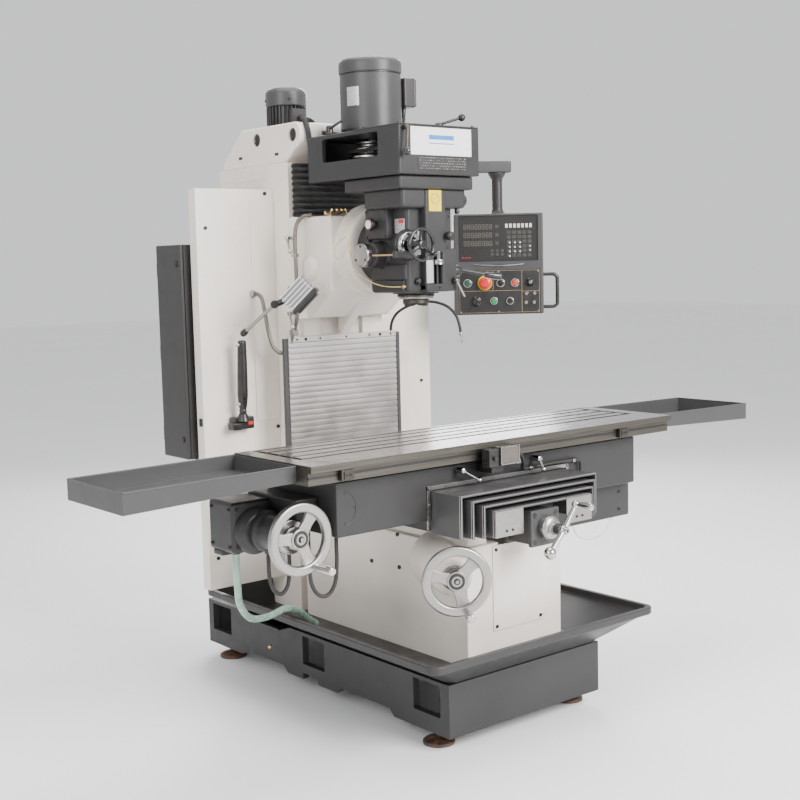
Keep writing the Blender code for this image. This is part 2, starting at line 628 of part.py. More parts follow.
def make_drive(head, bodies, grey, steel):
    """Belt housing with its window, the motor on it, both pulleys and the belt."""
    housing = box("belt_housing", head, grey, (-HOUSING_HALF, HOUSING_FRONT, HOUSING_BOTTOM),
                  (HOUSING_HALF, HOUSING_REAR, HOUSING_TOP))
    bevel(housing, 0.004, 1)
    wall = 0.014
    cut(housing,
        box("housing inside", head, grey, (wall - HOUSING_HALF, HOUSING_FRONT + wall,
                                           HOUSING_BOTTOM + wall),
            (HOUSING_HALF - wall, HOUSING_REAR - wall, HOUSING_TOP - wall)),
        box("belt window", head, grey, (-0.3, 0.474, 1.808), (-0.1, 0.777, 1.888)),
        box("belt window right", head, grey, (0.1, 0.474, 1.808), (0.3, 0.777, 1.888)),
        cylinder("spindle hole", head, grey, (0, SPINDLE_Y, 1.75), 0.054, 0.06, sides=28),
        cylinder("motor hole", head, grey, (0, MOTOR_Y, 1.90), 0.030, 0.06, sides=20))
    profile = [(0, MOTOR_TOP), (0.085, MOTOR_TOP - 0.001), (0.104, MOTOR_TOP - 0.006), (0.109,
                                                            MOTOR_TOP - 0.014),
               (0.109, 2.105), (0.106, 2.100), (MOTOR_RADIUS, 2.098), (MOTOR_RADIUS, 1.912),
               (0.096, 1.906), (0.096, HOUSING_TOP + GAP), (0, HOUSING_TOP + GAP)]
    motor = turned("drive_motor", head, grey, (0, MOTOR_Y, 0), profile, steps=40)
    shaft = [(0, 1.8990), (0.012, 1.8990), (0.012, 1.878), (0.056, 1.878), (0.050, 1.862), (0.070, 1.856),
             (0.064, 1.836), (0.084, 1.830), (0.084, 1.824), (0.078, 1.806), (0.012, 1.806), (0.012,
                                                            1.790),
             (0, 1.790)]
    turned("motor_pulley", bodies["motor_pulley"], steel, (0, MOTOR_Y, 0), shaft, steps=28)
    pulley = [(0, 1.880), (0.088, 1.880), (0.082, 1.862), (0.074, 1.856), (0.068, 1.836), (0.060, 1.830),
              (0.054, 1.806), (0.030, 1.806), (0.030, 1.775), (0, 1.775)]
    turned("spindle_pulley", bodies["spindle_pulley"], steel, (0, SPINDLE_Y, 0), pulley, steps=28)
    return motor


def make_belt(head, rubber):
    """The belt's open loop in the middle step of both pulleys."""
    z, sheet = 1.846, 0.004
    big, small = 0.0705 + sheet, 0.0745 + sheet
    middle = (SPINDLE_Y + MOTOR_Y) / 2
    offset = (MOTOR_Y - SPINDLE_Y) / 2
    outer = [(u, v + offset) for u, v in ring_points(big + sheet, 0, 180, 14)]
    outer += [(u, v - offset) for u, v in ring_points(small + sheet, 180, 360, 14)]
    inner = [(u, v + offset) for u, v in ring_points(big, 0, 180, 14)]
    inner += [(u, v - offset) for u, v in ring_points(small, 180, 360, 14)]
    place = Matrix.Translation((0, middle, z))
    belt = prism("drive_belt", head, rubber, outer, 0.010, place)
    cut(belt, prism("belt inside", head, rubber, inner, 0.030, place))
    return belt


def make_quill(bodies, steel):
    quill = turned("quill", bodies["quill"], steel, (0, SPINDLE_Y, 0),
                   [(QUILL_RADIUS, 1.720), (QUILL_RADIUS, 1.356), (0.058, 1.356), (0.058, 1.345),
                    (0.024, 1.345), (0.024, 1.720)], steps=28)
    spindle = turned("spindle", bodies["spindle"], steel, (0, SPINDLE_Y, 0),
                     [(0.0235, 1.738), (0.0235, 1.3446), (0.044, 1.3446), (0.044, 1.330),
                      (0.040, NOSE_BOTTOM), (0.0215, NOSE_BOTTOM), (0.010, 1.420), (0.010, 1.738)],
                      steps=28)
    return quill, spindle


def make_head_controls(bodies, black):
    centre = Vector((-0.100, 0.352, 1.522))
    wheel = turned("feed_handwheel", bodies["feed_wheel"], black, centre,
                   [(0.055, 0.005), (0.055, -0.005), (0.045, -0.007), (0.043, 0.0), (0.045, 0.007)],
                   (0, -1, 0), 28)
    join(wheel, turned("wheel hub", bodies["feed_wheel"], black, centre,
                       [(0, 0.010), (0.014, 0.008), (0.016, -0.020), (0.016, -0.0725), (0, -0.0725)],
                       (0, -1, 0), 16))
    for i in range(3):
        angle = math.radians(90 + 120 * i)
        out = Vector((math.cos(angle), 0, math.sin(angle)))
        join(wheel, cylinder("wheel spoke", bodies["feed_wheel"], black, centre + out * 0.030, 0.006,
                             0.040, out, 10))
    hub = Vector((0.135, 0.470, 1.435))
    lever = cylinder("quill_lever", bodies["quill_lever"], black, hub, 0.020, 0.073, (1, 0, 0), 20)
    end = hub + Vector((0.135, -0.055, -0.020))
    join(lever, tube("lever arm", bodies["quill_lever"], black,
                     [hub + Vector((0.020, 0, 0)), hub + Vector((0.040, -0.010, 0.0)), end], 0.006),
         cone("lever grip", bodies["quill_lever"], black, end, 0.009, 0.012, 0.060, (0.92, -0.38,
                                                            -0.14), 14))
    pivot = Vector((0.060, 0.440, HOUSING_TOP))
    speed = cylinder("speed_lever", bodies["speed_lever"], black, pivot + Vector((0, 0, 0.0105)),
                     0.016, 0.020,
                     sides=16)
    end = pivot + Vector((0.075, -0.030, 0.038))
    join(speed, tube("speed arm", bodies["speed_lever"], black, [pivot + Vector((0, 0, 0.014)), end],
                     0.0045),
         ball("speed ball", bodies["speed_lever"], black, end, 0.0125))
    pivot = Vector((-0.150, 0.760, HOUSING_TOP))
    brake = cylinder("brake_lever", bodies["brake_lever"], black, pivot + Vector((0, 0, 0.0165)),
                     0.012, 0.032,
                     sides=16)
    end = pivot + Vector((-0.030, -0.110, 0.036))
    join(brake, tube("brake arm", bodies["brake_lever"], black, [pivot + Vector((0, 0, 0.022)), end],
                     0.0055))


# ---------------------------------------------------------------- swing arm and pendant
def make_controls(bodies, grey, black, red, green):
    along = Vector((math.cos(ARM_TURN), math.sin(ARM_TURN), 0))
    arm = box("control_arm", bodies["arm"], grey, (-ARM_LENGTH / 2, -0.020, -0.0215),
              (ARM_LENGTH / 2, 0.020, 0.0215))
    arm.location = ARM_PIVOT + along * (ARM_LENGTH / 2 - 0.025)
    arm.rotation_mode = "QUATERNION"
    arm.rotation_quaternion = Matrix.Rotation(ARM_TURN, 4, "Z").to_quaternion()
    bevel(arm, 0.004, 1)
    post = post_place()
    turn = Matrix.Rotation(PENDANT_TURN, 4, "Z")
    place = Matrix.Translation((post.x, post.y, PENDANT_Z)) @ turn
    half_w, half_d, half_h = PENDANT_W / 2, PENDANT_D / 2, PENDANT_H / 2
    pendant = box("pendant", bodies["pendant"], grey, (-half_w, -half_d, -half_h), (half_w, half_d,
                                                            half_h))
    pendant.rotation_mode = "QUATERNION"
    pendant.rotation_quaternion = turn.to_quaternion()
    pendant.location = place.to_translation()
    bevel(pendant, 0.006, 2)
    controls = (("emergency_stop", red, -0.054, -0.070, 0.023, 0.030),
                ("start_button", green, -0.119, -0.070, 0.012, 0.010),
                ("speed_knob", black, 0.116, -0.070, 0.017, 0.018))
    for name, mat, u, v, radius, depth in controls:
        cut(pendant, cylinder(name + " well", bodies["pendant"], grey, place @ Vector((u, -half_d, v)),
                              radius + 0.001, 2 * BUTTON_TRAVEL + 0.002, turn @ Vector((0, -1, 0)), 24))
    foot, head = PENDANT_Z + half_h - 0.012, ARM_PIVOT.z - 0.022
    join(pendant, cylinder("pendant post", bodies["pendant"], grey,
                           (post.x, post.y, (foot + head) / 2), 0.020, head - foot, sides=20))
    handle = [place @ Vector(p) for p in ((half_w - 0.009, -0.010, -0.042), (half_w + 0.048, -0.010,
                                                            -0.042),
              (half_w + 0.054, -0.010, -0.050), (half_w + 0.054, -0.010, -0.156),
              (half_w + 0.048, -0.010, -0.164), (half_w - 0.009, -0.010, -0.164))]
    join(pendant, tube("pendant handle", bodies["pendant"], grey, handle, 0.007))
    front = -half_d - GAP
    for name, mat, u, v, radius, depth in controls:
        centre = place @ Vector((u, front - depth / 2, v))
        knob = cylinder(name, bodies[name], mat, centre, radius, depth, turn @ Vector((0, -1, 0)), 20)
        bevel(knob, 0.0015, 1)


def post_place():
    """Where the pendant's post meets the arm's far end."""
    along = Vector((math.cos(ARM_TURN), math.sin(ARM_TURN), 0))
    return ARM_PIVOT + along * (ARM_LENGTH - 0.075)


# ---------------------------------------------------------------- lamp and coolant
def make_lamp(root, bodies, black, aluminium, steel):
    foot = box("lamp_base", root, black, (-0.415, 1.005, 0.905), (-0.335, GUARD_Y - GAP, 0.945))
    bevel(foot, 0.004, 1)
    pivot, elbow, neck, head = lamp_joints()
    join(foot, cylinder("lamp socket", root, black, pivot - Vector((0, 0, 0.022)), 0.014, 0.030,
                        sides=16))
    lower = (elbow - pivot).normalized()
    cylinder("lamp_lower_arm", bodies["lamp_lower"], black, (pivot + elbow) / 2, 0.019,
             (elbow - pivot).length - 0.013, lower, 16)
    upper = (neck - elbow).normalized()
    cylinder("lamp_upper_arm", bodies["lamp_upper"], steel, (elbow + neck) / 2, 0.0065,
             (neck - elbow).length - 0.016, upper, 12)
    facing_down = lamp_direction()
    cylinder("lamp_head", bodies["lamp_head"], aluminium, head, 0.047, 0.080, facing_down, 28)


def lamp_joints():
    """Pivot, elbow, neck and head of the work lamp."""
    return (Vector(LAMP_PIVOT), Vector((-0.387, 0.985, 1.231)), Vector((-0.349, 0.830, 1.337)),
            Vector((-0.292, 0.770, 1.370)))


def lamp_direction():
    """Where the lamp shines: forwards, right and down."""
    return Vector((0.55, -0.45, -0.70)).normalized()


def make_lines(root, saddle, black, green):
    """Coolant nozzle on the guard, drain hose and two cable loops under the X gearbox."""
    tube("coolant_gooseneck", root, black, GOOSENECK, 0.0048, 0.016)
    tube("drain_hose", saddle, green, DRAIN_HOSE, 0.011, 0.034)
    tube("cable_loop_left", saddle, black, CABLE_LOOP_LEFT, 0.006, 0.018)
    tube("cable_loop_right", saddle, black, CABLE_LOOP_RIGHT, 0.006, 0.018)


GOOSENECK = ((0.267, 0.980, 1.1754), (0.267, 0.978, 1.210), (0.266, 0.965, 1.250), (0.270, 0.930, 1.285),
             (0.288, 0.870, 1.312), (0.312, 0.800, 1.322), (0.335, 0.740, 1.308), (0.348, 0.700, 1.275),
             (0.352, 0.682, 1.232), (0.352, 0.676, 1.200))
DRAIN_HOSE = ((-0.800, 0.400, 0.6390), (-0.800, 0.402, 0.590), (-0.780, 0.430, 0.520), (-0.730,
                                                            0.500, 0.435),
              (-0.650, 0.570, 0.365), (-0.560, 0.610, 0.345), (-0.480, 0.630, 0.352), (-0.420, 0.645,
                                                            0.330),
              (-0.370, 0.660, 0.290), (-0.330, 0.672, 0.262))
CABLE_LOOP_LEFT = ((-0.752, 0.300, 0.6490), (-0.752, 0.300, 0.610), (-0.748, 0.303, 0.560), (-0.732,
                                                            0.306, 0.520),
                   (-0.705, 0.310, 0.503), (-0.680, 0.314, 0.520), (-0.668, 0.318, 0.565), (-0.666,
                                                            0.320, 0.620),
                   (-0.666, 0.320, 0.680), (-0.666, 0.320, 0.7345))
CABLE_LOOP_RIGHT = ((-0.650, 0.240, 0.7345), (-0.650, 0.240, 0.680), (-0.650, 0.240, 0.600), (-0.645,
                                                            0.238, 0.535),
                    (-0.622, 0.234, 0.498), (-0.590, 0.230, 0.496), (-0.568, 0.226, 0.530), (-0.562,
                                                            0.224, 0.590),
                    (-0.562, 0.224, 0.640), (-0.562, 0.224, 0.6895))


# ---------------------------------------------------------------- the machine
def main():
    start_scene()
    white = material("off white enamel", (0.80, 0.77, 0.72), 0.35)
    grey = material("machine grey enamel", (0.10, 0.105, 0.115), 0.40)
    black = material("black plastic", (0.015, 0.015, 0.016), 0.45)
    steel = material("ground steel", (0.55, 0.55, 0.54), 0.28, 1.0)
    aluminium = material("aluminium", (0.70, 0.70, 0.70), 0.35, 1.0)
    rubber = material("belt rubber", (0.02, 0.02, 0.02), 0.8)
    red = material("red plastic", (0.60, 0.02, 0.02), 0.35)
    green = material("green plastic", (0.05, 0.35, 0.16), 0.40)

    machine = empty("milling_machine", (0, DATUM_Y, 0))
    saddle = empty("saddle slide", (0, SADDLE_FRONT, SADDLE_BOTTOM), machine)
    table = empty("table slide", (0, SLOT_MIDDLE, TABLE_BOTTOM), saddle)
    carriage = empty("carriage slide", (0, CARRIAGE_REAR, TILT_Z), machine)
    head = empty("head tilt", (0, CARRIAGE_FRONT, TILT_Z), carriage)
    quill = empty("quill slide", (0, SPINDLE_Y, 1.5), head)
    arm = empty("arm pivot", ARM_PIVOT, machine)
    pendant = empty("pendant pivot", post_place(), arm)
    lamp_pivot, lamp_elbow, lamp_neck = lamp_joints()[:3]
    lamp_lower = empty("lamp pivot", lamp_pivot, machine)
    lamp_upper = empty("lamp elbow", lamp_elbow, lamp_lower)
    bodies = {
        "saddle": saddle, "quill": quill, "arm": arm, "pendant": pendant,
        "lamp_lower": lamp_lower, "lamp_upper": lamp_upper,
        "lamp_head": empty("lamp neck", lamp_neck, lamp_upper),
        "spindle": empty("spindle axis", (0, SPINDLE_Y, 1.4), quill),
        "cover_2": empty("cover 2 slide", (0, 0, 0.7), machine),
        "cover_3": empty("cover 3 slide", (0, 0, 0.7), machine),
        "motor_pulley": empty("motor axis", (0, MOTOR_Y, 1.84), head),
        "spindle_pulley": empty("pulley axis", (0, SPINDLE_Y, 1.84), head),
        "feed_wheel": empty("feed wheel axis", (-0.100, 0.352, 1.522), head),
        "quill_lever": empty("quill lever axis", (0.135, 0.470, 1.435), head),
        "speed_lever": empty("speed lever axis", (0.060, 0.440, HOUSING_TOP), head),
        "brake_lever": empty("brake lever axis", (-0.150, 0.760, HOUSING_TOP), head),
    }
    for name in ("emergency_stop", "start_button", "speed_knob"):
        bodies[name] = empty(name + " axis", post_place(), pendant)

    make_base(machine, grey, steel)
    make_tray(machine, grey)
    make_bed(machine, white, steel)
    make_column(machine, white, grey)
    make_covers(machine, black, aluminium)
    make_saddle(saddle, grey, steel)
    make_x_drive(saddle, grey, aluminium)
    handwheel("z_handwheel", empty("z handwheel axis", Z_WHEEL, machine), aluminium, Z_WHEEL,
              Vector((-math.sin(Z_WHEEL_TURN), -math.cos(Z_WHEEL_TURN), 0)), -75)
    make_way_cover(machine, bodies, grey)
    make_crank(empty("crank axis", CRANK, machine), steel)
    make_table(table, steel, grey)
    make_carriage(carriage, white, steel)
    make_head(head, grey)
    make_drive(head, bodies, grey, steel)
    make_belt(head, rubber)
    make_quill(bodies, steel)
    make_head_controls(bodies, black)
    make_controls(bodies, grey, black, red, green)
    make_lamp(machine, bodies, black, aluminium, steel)
    make_lines(machine, saddle, black, green)


main()
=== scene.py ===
"""Looks of the vertical milling machine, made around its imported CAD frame.

Places are in machine coordinates: X along the table to the right, Y into the machine from the base's
front edge, Z up from the floor, in metres. OFFSET takes them to the row frame.
"""
import json
import math
import random

import bmesh
import bpy
from mathutils import Matrix, Vector


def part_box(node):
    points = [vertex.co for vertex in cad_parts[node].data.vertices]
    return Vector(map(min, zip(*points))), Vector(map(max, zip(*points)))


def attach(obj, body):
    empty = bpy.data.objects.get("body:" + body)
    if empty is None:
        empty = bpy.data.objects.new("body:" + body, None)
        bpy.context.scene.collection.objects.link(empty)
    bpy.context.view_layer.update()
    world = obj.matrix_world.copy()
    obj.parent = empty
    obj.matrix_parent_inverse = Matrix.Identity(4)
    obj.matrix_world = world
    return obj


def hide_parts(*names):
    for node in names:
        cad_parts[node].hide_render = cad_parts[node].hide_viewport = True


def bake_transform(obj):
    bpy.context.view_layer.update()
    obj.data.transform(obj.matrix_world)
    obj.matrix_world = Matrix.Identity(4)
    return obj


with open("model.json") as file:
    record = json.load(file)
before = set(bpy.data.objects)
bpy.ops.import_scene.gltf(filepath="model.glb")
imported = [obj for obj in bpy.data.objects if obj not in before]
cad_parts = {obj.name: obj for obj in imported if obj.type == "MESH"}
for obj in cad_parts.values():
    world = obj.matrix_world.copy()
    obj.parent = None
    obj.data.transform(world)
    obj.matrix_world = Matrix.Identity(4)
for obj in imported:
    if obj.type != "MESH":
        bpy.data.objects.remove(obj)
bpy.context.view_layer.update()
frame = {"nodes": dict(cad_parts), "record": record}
OFFSET = Vector((0.0, -0.584, 0.0))
X, Y, Z = Vector((1, 0, 0)), Vector((0, 1, 0)), Vector((0, 0, 1))
BODY_OF = {node: body for body, nodes in frame["record"]["behaviour"]["bodies"].items() for node in nodes}
random.seed(7)


# ---------------------------------------------------------------- camera
CAMERA_PLACE = (-2.7213, -3.3399, 1.462)
SENSOR_MM, LENS_MM = 36.0, 56.97


def make_camera():
    """The camera stands at the front left, a little above the table, looking slightly down."""
    yaw, pitch, roll = math.radians(39.02), math.radians(6.13), math.radians(-1.372)
    forward = Vector((math.sin(yaw) * math.cos(pitch), math.cos(yaw) * math.cos(pitch), -math.sin(pitch)))
    right = Vector((math.cos(yaw), -math.sin(yaw), 0))
    up = right.cross(forward)
    side = math.cos(roll) * right + math.sin(roll) * up
    top = math.cos(roll) * up - math.sin(roll) * right
    data = bpy.data.cameras.new("camera")
    data.sensor_width = SENSOR_MM
    data.lens = LENS_MM
    data.clip_end = 100.0
    camera = bpy.data.objects.new("camera", data)
    turn = Matrix((side, top, -forward)).transposed().to_4x4()
    camera.matrix_world = Matrix.Translation(CAMERA_PLACE) @ turn
    bpy.context.scene.collection.objects.link(camera)
    bpy.context.scene.camera = camera


make_camera()


# ---------------------------------------------------------------- material nodes
class Look:
    """A procedural material, built node by node on the Principled shader."""

    def __init__(self, name, roughness=0.4, metallic=0.0, **sockets):
        self.mat = bpy.data.materials.new(name)
        self.mat.use_nodes = True
        self.tree = self.mat.node_tree
        self.shader = self.tree.nodes["Principled BSDF"]
        self.shader.inputs["Roughness"].default_value = roughness
        self.shader.inputs["Metallic"].default_value = metallic
        for socket, value in sockets.items():
            self.shader.inputs[socket.replace("_", " ")].default_value = value
        self.place = self.add("ShaderNodeTexCoord").outputs["Object"]

    def add(self, kind, **settings):
        node = self.tree.nodes.new(kind)
        for key, value in settings.items():
            setattr(node, key, value)
        return node

    def link(self, a, b):
        self.tree.links.new(a, b)
        return self

    def noise(self, scale, detail=3.0, roughness=0.5, stretch=(1, 1, 1)):
        mapping = self.add("ShaderNodeMapping")
        mapping.inputs["Scale"].default_value = stretch
        self.link(self.place, mapping.inputs["Vector"])
        node = self.add("ShaderNodeTexNoise")
        node.inputs["Scale"].default_value = scale
        node.inputs["Detail"].default_value = detail
        node.inputs["Roughness"].default_value = roughness
        self.link(mapping.outputs["Vector"], node.inputs["Vector"])
        return node.outputs["Fac"]

    def ramp(self, factor, stops):
        node = self.add("ShaderNodeValToRGB")
        elements = node.color_ramp.elements
        while len(elements) < len(stops):
            elements.new(0.5)
        for element, (position, colour) in zip(elements, stops):
            element.position = position
            element.color = (*colour, 1.0) if len(colour) == 3 else colour
        self.link(factor, node.inputs["Fac"])
        return node.outputs["Color"]

    def spread(self, factor, low, high, from_low=0.3, from_high=0.7):
        node = self.add("ShaderNodeMapRange")
        node.inputs["From Min"].default_value = from_low
        node.inputs["From Max"].default_value = from_high
        node.inputs["To Min"].default_value = low
        node.inputs["To Max"].default_value = high
        self.link(factor, node.inputs["Value"])
        return node.outputs["Result"]

    def mix(self, factor, a, b, blend_type="MIX"):
        node = self.add("ShaderNodeMix", data_type="RGBA", blend_type=blend_type)
        for value, socket in ((factor, node.inputs[0]), (a, node.inputs[6]), (b, node.inputs[7])):
            if hasattr(value, "links"):
                self.link(value, socket)
            else:
                socket.default_value = (*value, 1.0) if isinstance(value, tuple) else value
        return node.outputs[2]

    def multiply(self, a, b):
        node = self.add("ShaderNodeMath", operation="MULTIPLY")
        for value, socket in ((a, node.inputs[0]), (b, node.inputs[1])):
            if hasattr(value, "links"):
                self.link(value, socket)
            else:
                socket.default_value = value
        return node.outputs[0]

    def height(self):
        """World height in metres at rest, from the object coordinates."""
        split = self.add("ShaderNodeSeparateXYZ")
        self.link(self.place, split.inputs["Vector"])
        return split.outputs["Z"]

    def edges(self, low=0.52, high=0.6):
        """1 on outward edges, 0 elsewhere."""
        geometry = self.add("ShaderNodeNewGeometry")
        return self.spread(geometry.outputs["Pointiness"], 0.0, 1.0, low, high)

    def colour(self, output):
        return self.link(output, self.shader.inputs["Base Color"])

    def rough(self, output):
        return self.link(output, self.shader.inputs["Roughness"])

    def bump(self, factor, strength, distance):
        node = self.add("ShaderNodeBump")
        node.inputs["Strength"].default_value = strength
        node.inputs["Distance"].default_value = distance
        self.link(factor, node.inputs["Height"])
        return self.link(node.outputs["Normal"], self.shader.inputs["Normal"])


def shade(colour, factor):
    return tuple(c * factor for c in colour)


def enamel(name, colour, roughness=0.33, dirt=0.25, peel=0.1, grime=(0.2, 0.17, 0.14)):
    """Sprayed enamel: faint orange peel, soft colour drift, handling marks and dust."""
    look = Look(name, roughness, 0.0, Coat_Weight=0.04, Coat_Roughness=0.25, Specular_IOR_Level=0.3)
    drift = look.ramp(look.noise(2.3, 4.0), [(0.3, shade(colour, 0.93)), (0.7, shade(colour, 1.05))])
    marks = look.multiply(look.spread(look.noise(9.0, 8.0, 0.62), 0.0, 1.0, 0.52, 0.8), dirt)
    streaks = look.multiply(look.spread(look.noise(16.0, 5.0, 0.6, (1, 1, 0.12)), 0.0, 1.0, 0.58, 0.85), dirt)
    dirty = look.mix(marks, drift, tuple(a * b * 1.6 for a, b in zip(colour, grime)))
    look.colour(look.mix(streaks, dirty, tuple(a * b * 2.0 for a, b in zip(colour, grime))))
    look.rough(look.spread(look.noise(14.0, 6.0, 0.6), roughness - 0.06, roughness + 0.1))
    look.bump(look.noise(420.0, 2.0), peel, 0.0006)
    return look.mat


def cast_enamel(name, colour, roughness=0.42):
    """Painted casting: filler waves under the paint and small pits."""
    look = Look(name, roughness, 0.0, Coat_Weight=0.03, Coat_Roughness=0.3, Specular_IOR_Level=0.28)
    drift = look.ramp(look.noise(3.1, 5.0), [(0.3, shade(colour, 0.88)), (0.7, shade(colour, 1.1))])
    marks = look.multiply(look.spread(look.noise(22.0, 8.0, 0.65), 0.0, 1.0, 0.6, 0.82), 0.3)
    look.colour(look.mix(marks, drift, shade(colour, 0.45)))
    look.rough(look.spread(look.noise(18.0, 6.0, 0.6), roughness - 0.08, roughness + 0.1))
    grain = look.mix(0.35, look.noise(34.0, 6.0, 0.6), look.noise(260.0, 4.0, 0.6))
    look.bump(grain, 0.22, 0.0016)
    return look.mat


def metal(name, colour, roughness=0.25, lines=(1, 1, 1), scale=300.0, depth=0.06, stain=0.15, tone=0.5):
    """Machined metal: tool lines stretched along one way, and faint staining."""
    look = Look(name, roughness, 1.0)
    fine = look.noise(scale, 3.0, 0.55, lines)
    base = look.ramp(fine, [(0.35, shade(colour, 1.0 - 0.18 * tone)), (0.65,
                                                                shade(colour, 1.0 + 0.12 * tone))])
    stains = look.multiply(look.spread(look.noise(7.0, 6.0, 0.6), 0.0, 1.0, 0.5, 0.8), stain)
    look.colour(look.mix(stains, base, (colour[0] * 0.52, colour[1] * 0.46, colour[2] * 0.38)))
    look.rough(look.spread(look.noise(11.0, 5.0), roughness - 0.05, roughness + 0.09))
    look.bump(fine, depth, 0.0008)
    return look.mat


def plastic(name, colour, roughness=0.4, grain=260.0, depth=0.12, **sockets):
    """Moulded plastic or rubber with a fine grain and handling shine."""
    look = Look(name, roughness, 0.0, **sockets)
    look.colour(look.ramp(look.noise(28.0, 5.0), [(0.3, shade(colour, 0.86)), (0.72, shade(colour, 1.18))]))
    look.rough(look.spread(look.noise(40.0, 4.0), roughness - 0.08, roughness + 0.1))
    look.bump(look.noise(grain, 3.0), depth, 0.0005)
    return look.mat


def printed(name, paper, ink, across, rows, roughness=0.35, share=0.55, metallic=0.0):
    """A plate with rows of generic marks: no letters, only short dashes."""
    look = Look(name, roughness, metallic)
    brick = look.add("ShaderNodeTexBrick", offset=0.37, offset_frequency=2)
    brick.inputs["Color1"].default_value = (*ink, 1.0)
    brick.inputs["Color2"].default_value = (*paper, 1.0)
    brick.inputs["Mortar"].default_value = (*paper, 1.0)
    brick.inputs["Scale"].default_value = 1.0
    brick.inputs["Mortar Size"].default_value = rows * (1 - share)
    brick.inputs["Brick Width"].default_value = across
    brick.inputs["Row Height"].default_value = rows
    swap = look.add("ShaderNodeMapping")
    swap.inputs["Rotation"].default_value = (math.radians(-90), 0, 0)
    look.link(look.place, swap.inputs["Vector"])
    look.link(swap.outputs["Vector"], brick.inputs["Vector"])
    dust = look.spread(look.noise(60.0, 4.0), 0.0, 0.18)
    look.colour(look.mix(dust, brick.outputs["Color"], shade(paper, 0.7)))
    look.rough(look.spread(look.noise(50.0, 3.0), roughness - 0.05, roughness + 0.08))
    return look.mat


def table_metal():
    """Ground top with long grinding lines; darker, oiled milled sides; slot floors darker still, as painted
    shade.
    """
    look = Look("ground cast iron", 0.22, 1.0)
    lines = look.noise(90.0, 6.0, 0.62, (0.05, 6.0, 1.0))
    fine = look.noise(520.0, 3.0, 0.6, (0.04, 1.0, 1.0))
    top = look.ramp(look.mix(0.5, lines, fine), [(0.36, (0.19, 0.178, 0.182)), (0.64, (0.4, 0.38, 0.388))])
    side = look.ramp(look.noise(60.0, 6.0, 0.6, (0.08, 1, 4)), [(0.3, (0.08, 0.074, 0.063)),
                                                                (0.7, (0.14, 0.13, 0.112))])
    geometry = look.add("ShaderNodeNewGeometry")
    split = look.add("ShaderNodeSeparateXYZ")
    look.link(geometry.outputs["True Normal"], split.inputs["Vector"])
    upward = look.spread(split.outputs["Z"], 0.0, 1.0, 0.6, 0.8)
    high = look.spread(look.height(), 0.0, 1.0, 0.9, 0.914)
    flat = look.multiply(upward, high)
    # Up-facing faces below the ground top, the slot floors, are pushed towards near black: painted shade in
    # the slots.
    slot_floor_shade = look.mix(0.6, side, (0.03, 0.027, 0.024))
    look.colour(look.mix(flat, look.mix(upward, side, slot_floor_shade), top))
    rough_top = look.spread(look.noise(20.0, 6.0, 0.6), 0.15, 0.32)
    rough = look.mix(flat, (0.46, 0.46, 0.46), rough_top)
    look.rough(rough)
    look.bump(lines, 0.1, 0.0006)
    return look.mat


def bellows_cloth():
    look = Look("bellows fabric", 0.5, 0.0, Sheen_Weight=0.25, Sheen_Roughness=0.5)
    weave = look.noise(900.0, 2.0, 0.5)
    look.colour(look.ramp(look.noise(20.0, 5.0), [(0.3, (0.01, 0.009, 0.008)), (0.75, (0.03, 0.027, 0.025))]))
    look.rough(look.spread(look.noise(30.0, 4.0), 0.42, 0.62))
    look.bump(weave, 0.3, 0.0005)
    return look.mat


def rusty_steel():
    look = Look("rusty steel", 0.55, 0.6)
    rust = look.spread(look.noise(38.0, 8.0, 0.7), 0.0, 1.0, 0.42, 0.6)
    look.colour(look.mix(rust, (0.055, 0.052, 0.05), (0.2, 0.095, 0.045)))
    look.rough(look.spread(rust, 0.38, 0.85, 0.0, 1.0))
    look.bump(look.noise(180.0, 5.0, 0.7), 0.4, 0.001)
    return look.mat


def green_hose_look():
    look = Look("green hose", 0.22, 0.0, Transmission_Weight=0.35, IOR=1.42, Coat_Weight=0.3,
                Coat_Roughness=0.12)
    look.colour(look.ramp(look.noise(30.0, 4.0), [(0.3, (0.3, 0.48, 0.38)), (0.7, (0.46, 0.64, 0.53))]))
    look.rough(look.spread(look.noise(60.0, 3.0), 0.18, 0.3))
    look.bump(look.noise(120.0, 2.0), 0.1, 0.0008)
    return look.mat


def glass_face():
    """Smoked window of the readout."""
    look = Look("smoked window", 0.12, 0.0, Coat_Weight=0.6, Coat_Roughness=0.06)
    look.colour(look.ramp(look.noise(6.0, 3.0), [(0.3, (0.01, 0.009, 0.008)), (0.7, (0.02, 0.018, 0.015))]))
    look.rough(look.spread(look.noise(80.0, 4.0), 0.09, 0.2))
    look.bump(look.noise(500.0, 2.0), 0.03, 0.0003)
    return look.mat


WHITE = (0.8, 0.735, 0.665)
GREY = (0.034, 0.0325, 0.0325)
white = enamel("off white enamel", WHITE, 0.34, 0.16, 0.08)
white_cast = cast_enamel("white casting", shade(WHITE, 0.98), 0.38)
grey = enamel("grey enamel", GREY, 0.36, 0.3, 0.12, (0.35, 0.3, 0.26))
grey_cast = cast_enamel("grey casting", shade(GREY, 0.95), 0.42)
grey_light = enamel("light grey enamel", (0.06, 0.058, 0.059), 0.34, 0.15, 0.1, (0.35, 0.3, 0.26))
table_look = table_metal()
steel = metal("machined steel", (0.36, 0.345, 0.33), 0.26, (1, 1, 1), 260.0)
lip_steel = metal("ground lip steel", (0.5, 0.475, 0.455), 0.3, (0.03, 1, 1), 420.0, 0.1)
dull_steel = metal("oiled steel", (0.085, 0.076, 0.066), 0.42, (0.2, 1, 1), 200.0, 0.12, 0.4)
chrome = metal("chrome plate", (0.52, 0.505, 0.49), 0.1, (1, 1, 1), 60.0, 0.01, 0.05, 0.2)
alloy = metal("polished alloy", (0.4, 0.385, 0.37), 0.34, (1, 1, 1), 160.0, 0.05, 0.12)
slat_alloy = metal("anodised slats", (0.62, 0.585, 0.555), 0.36, (0.02, 1.0, 1.0), 460.0, 0.12, 0.1)
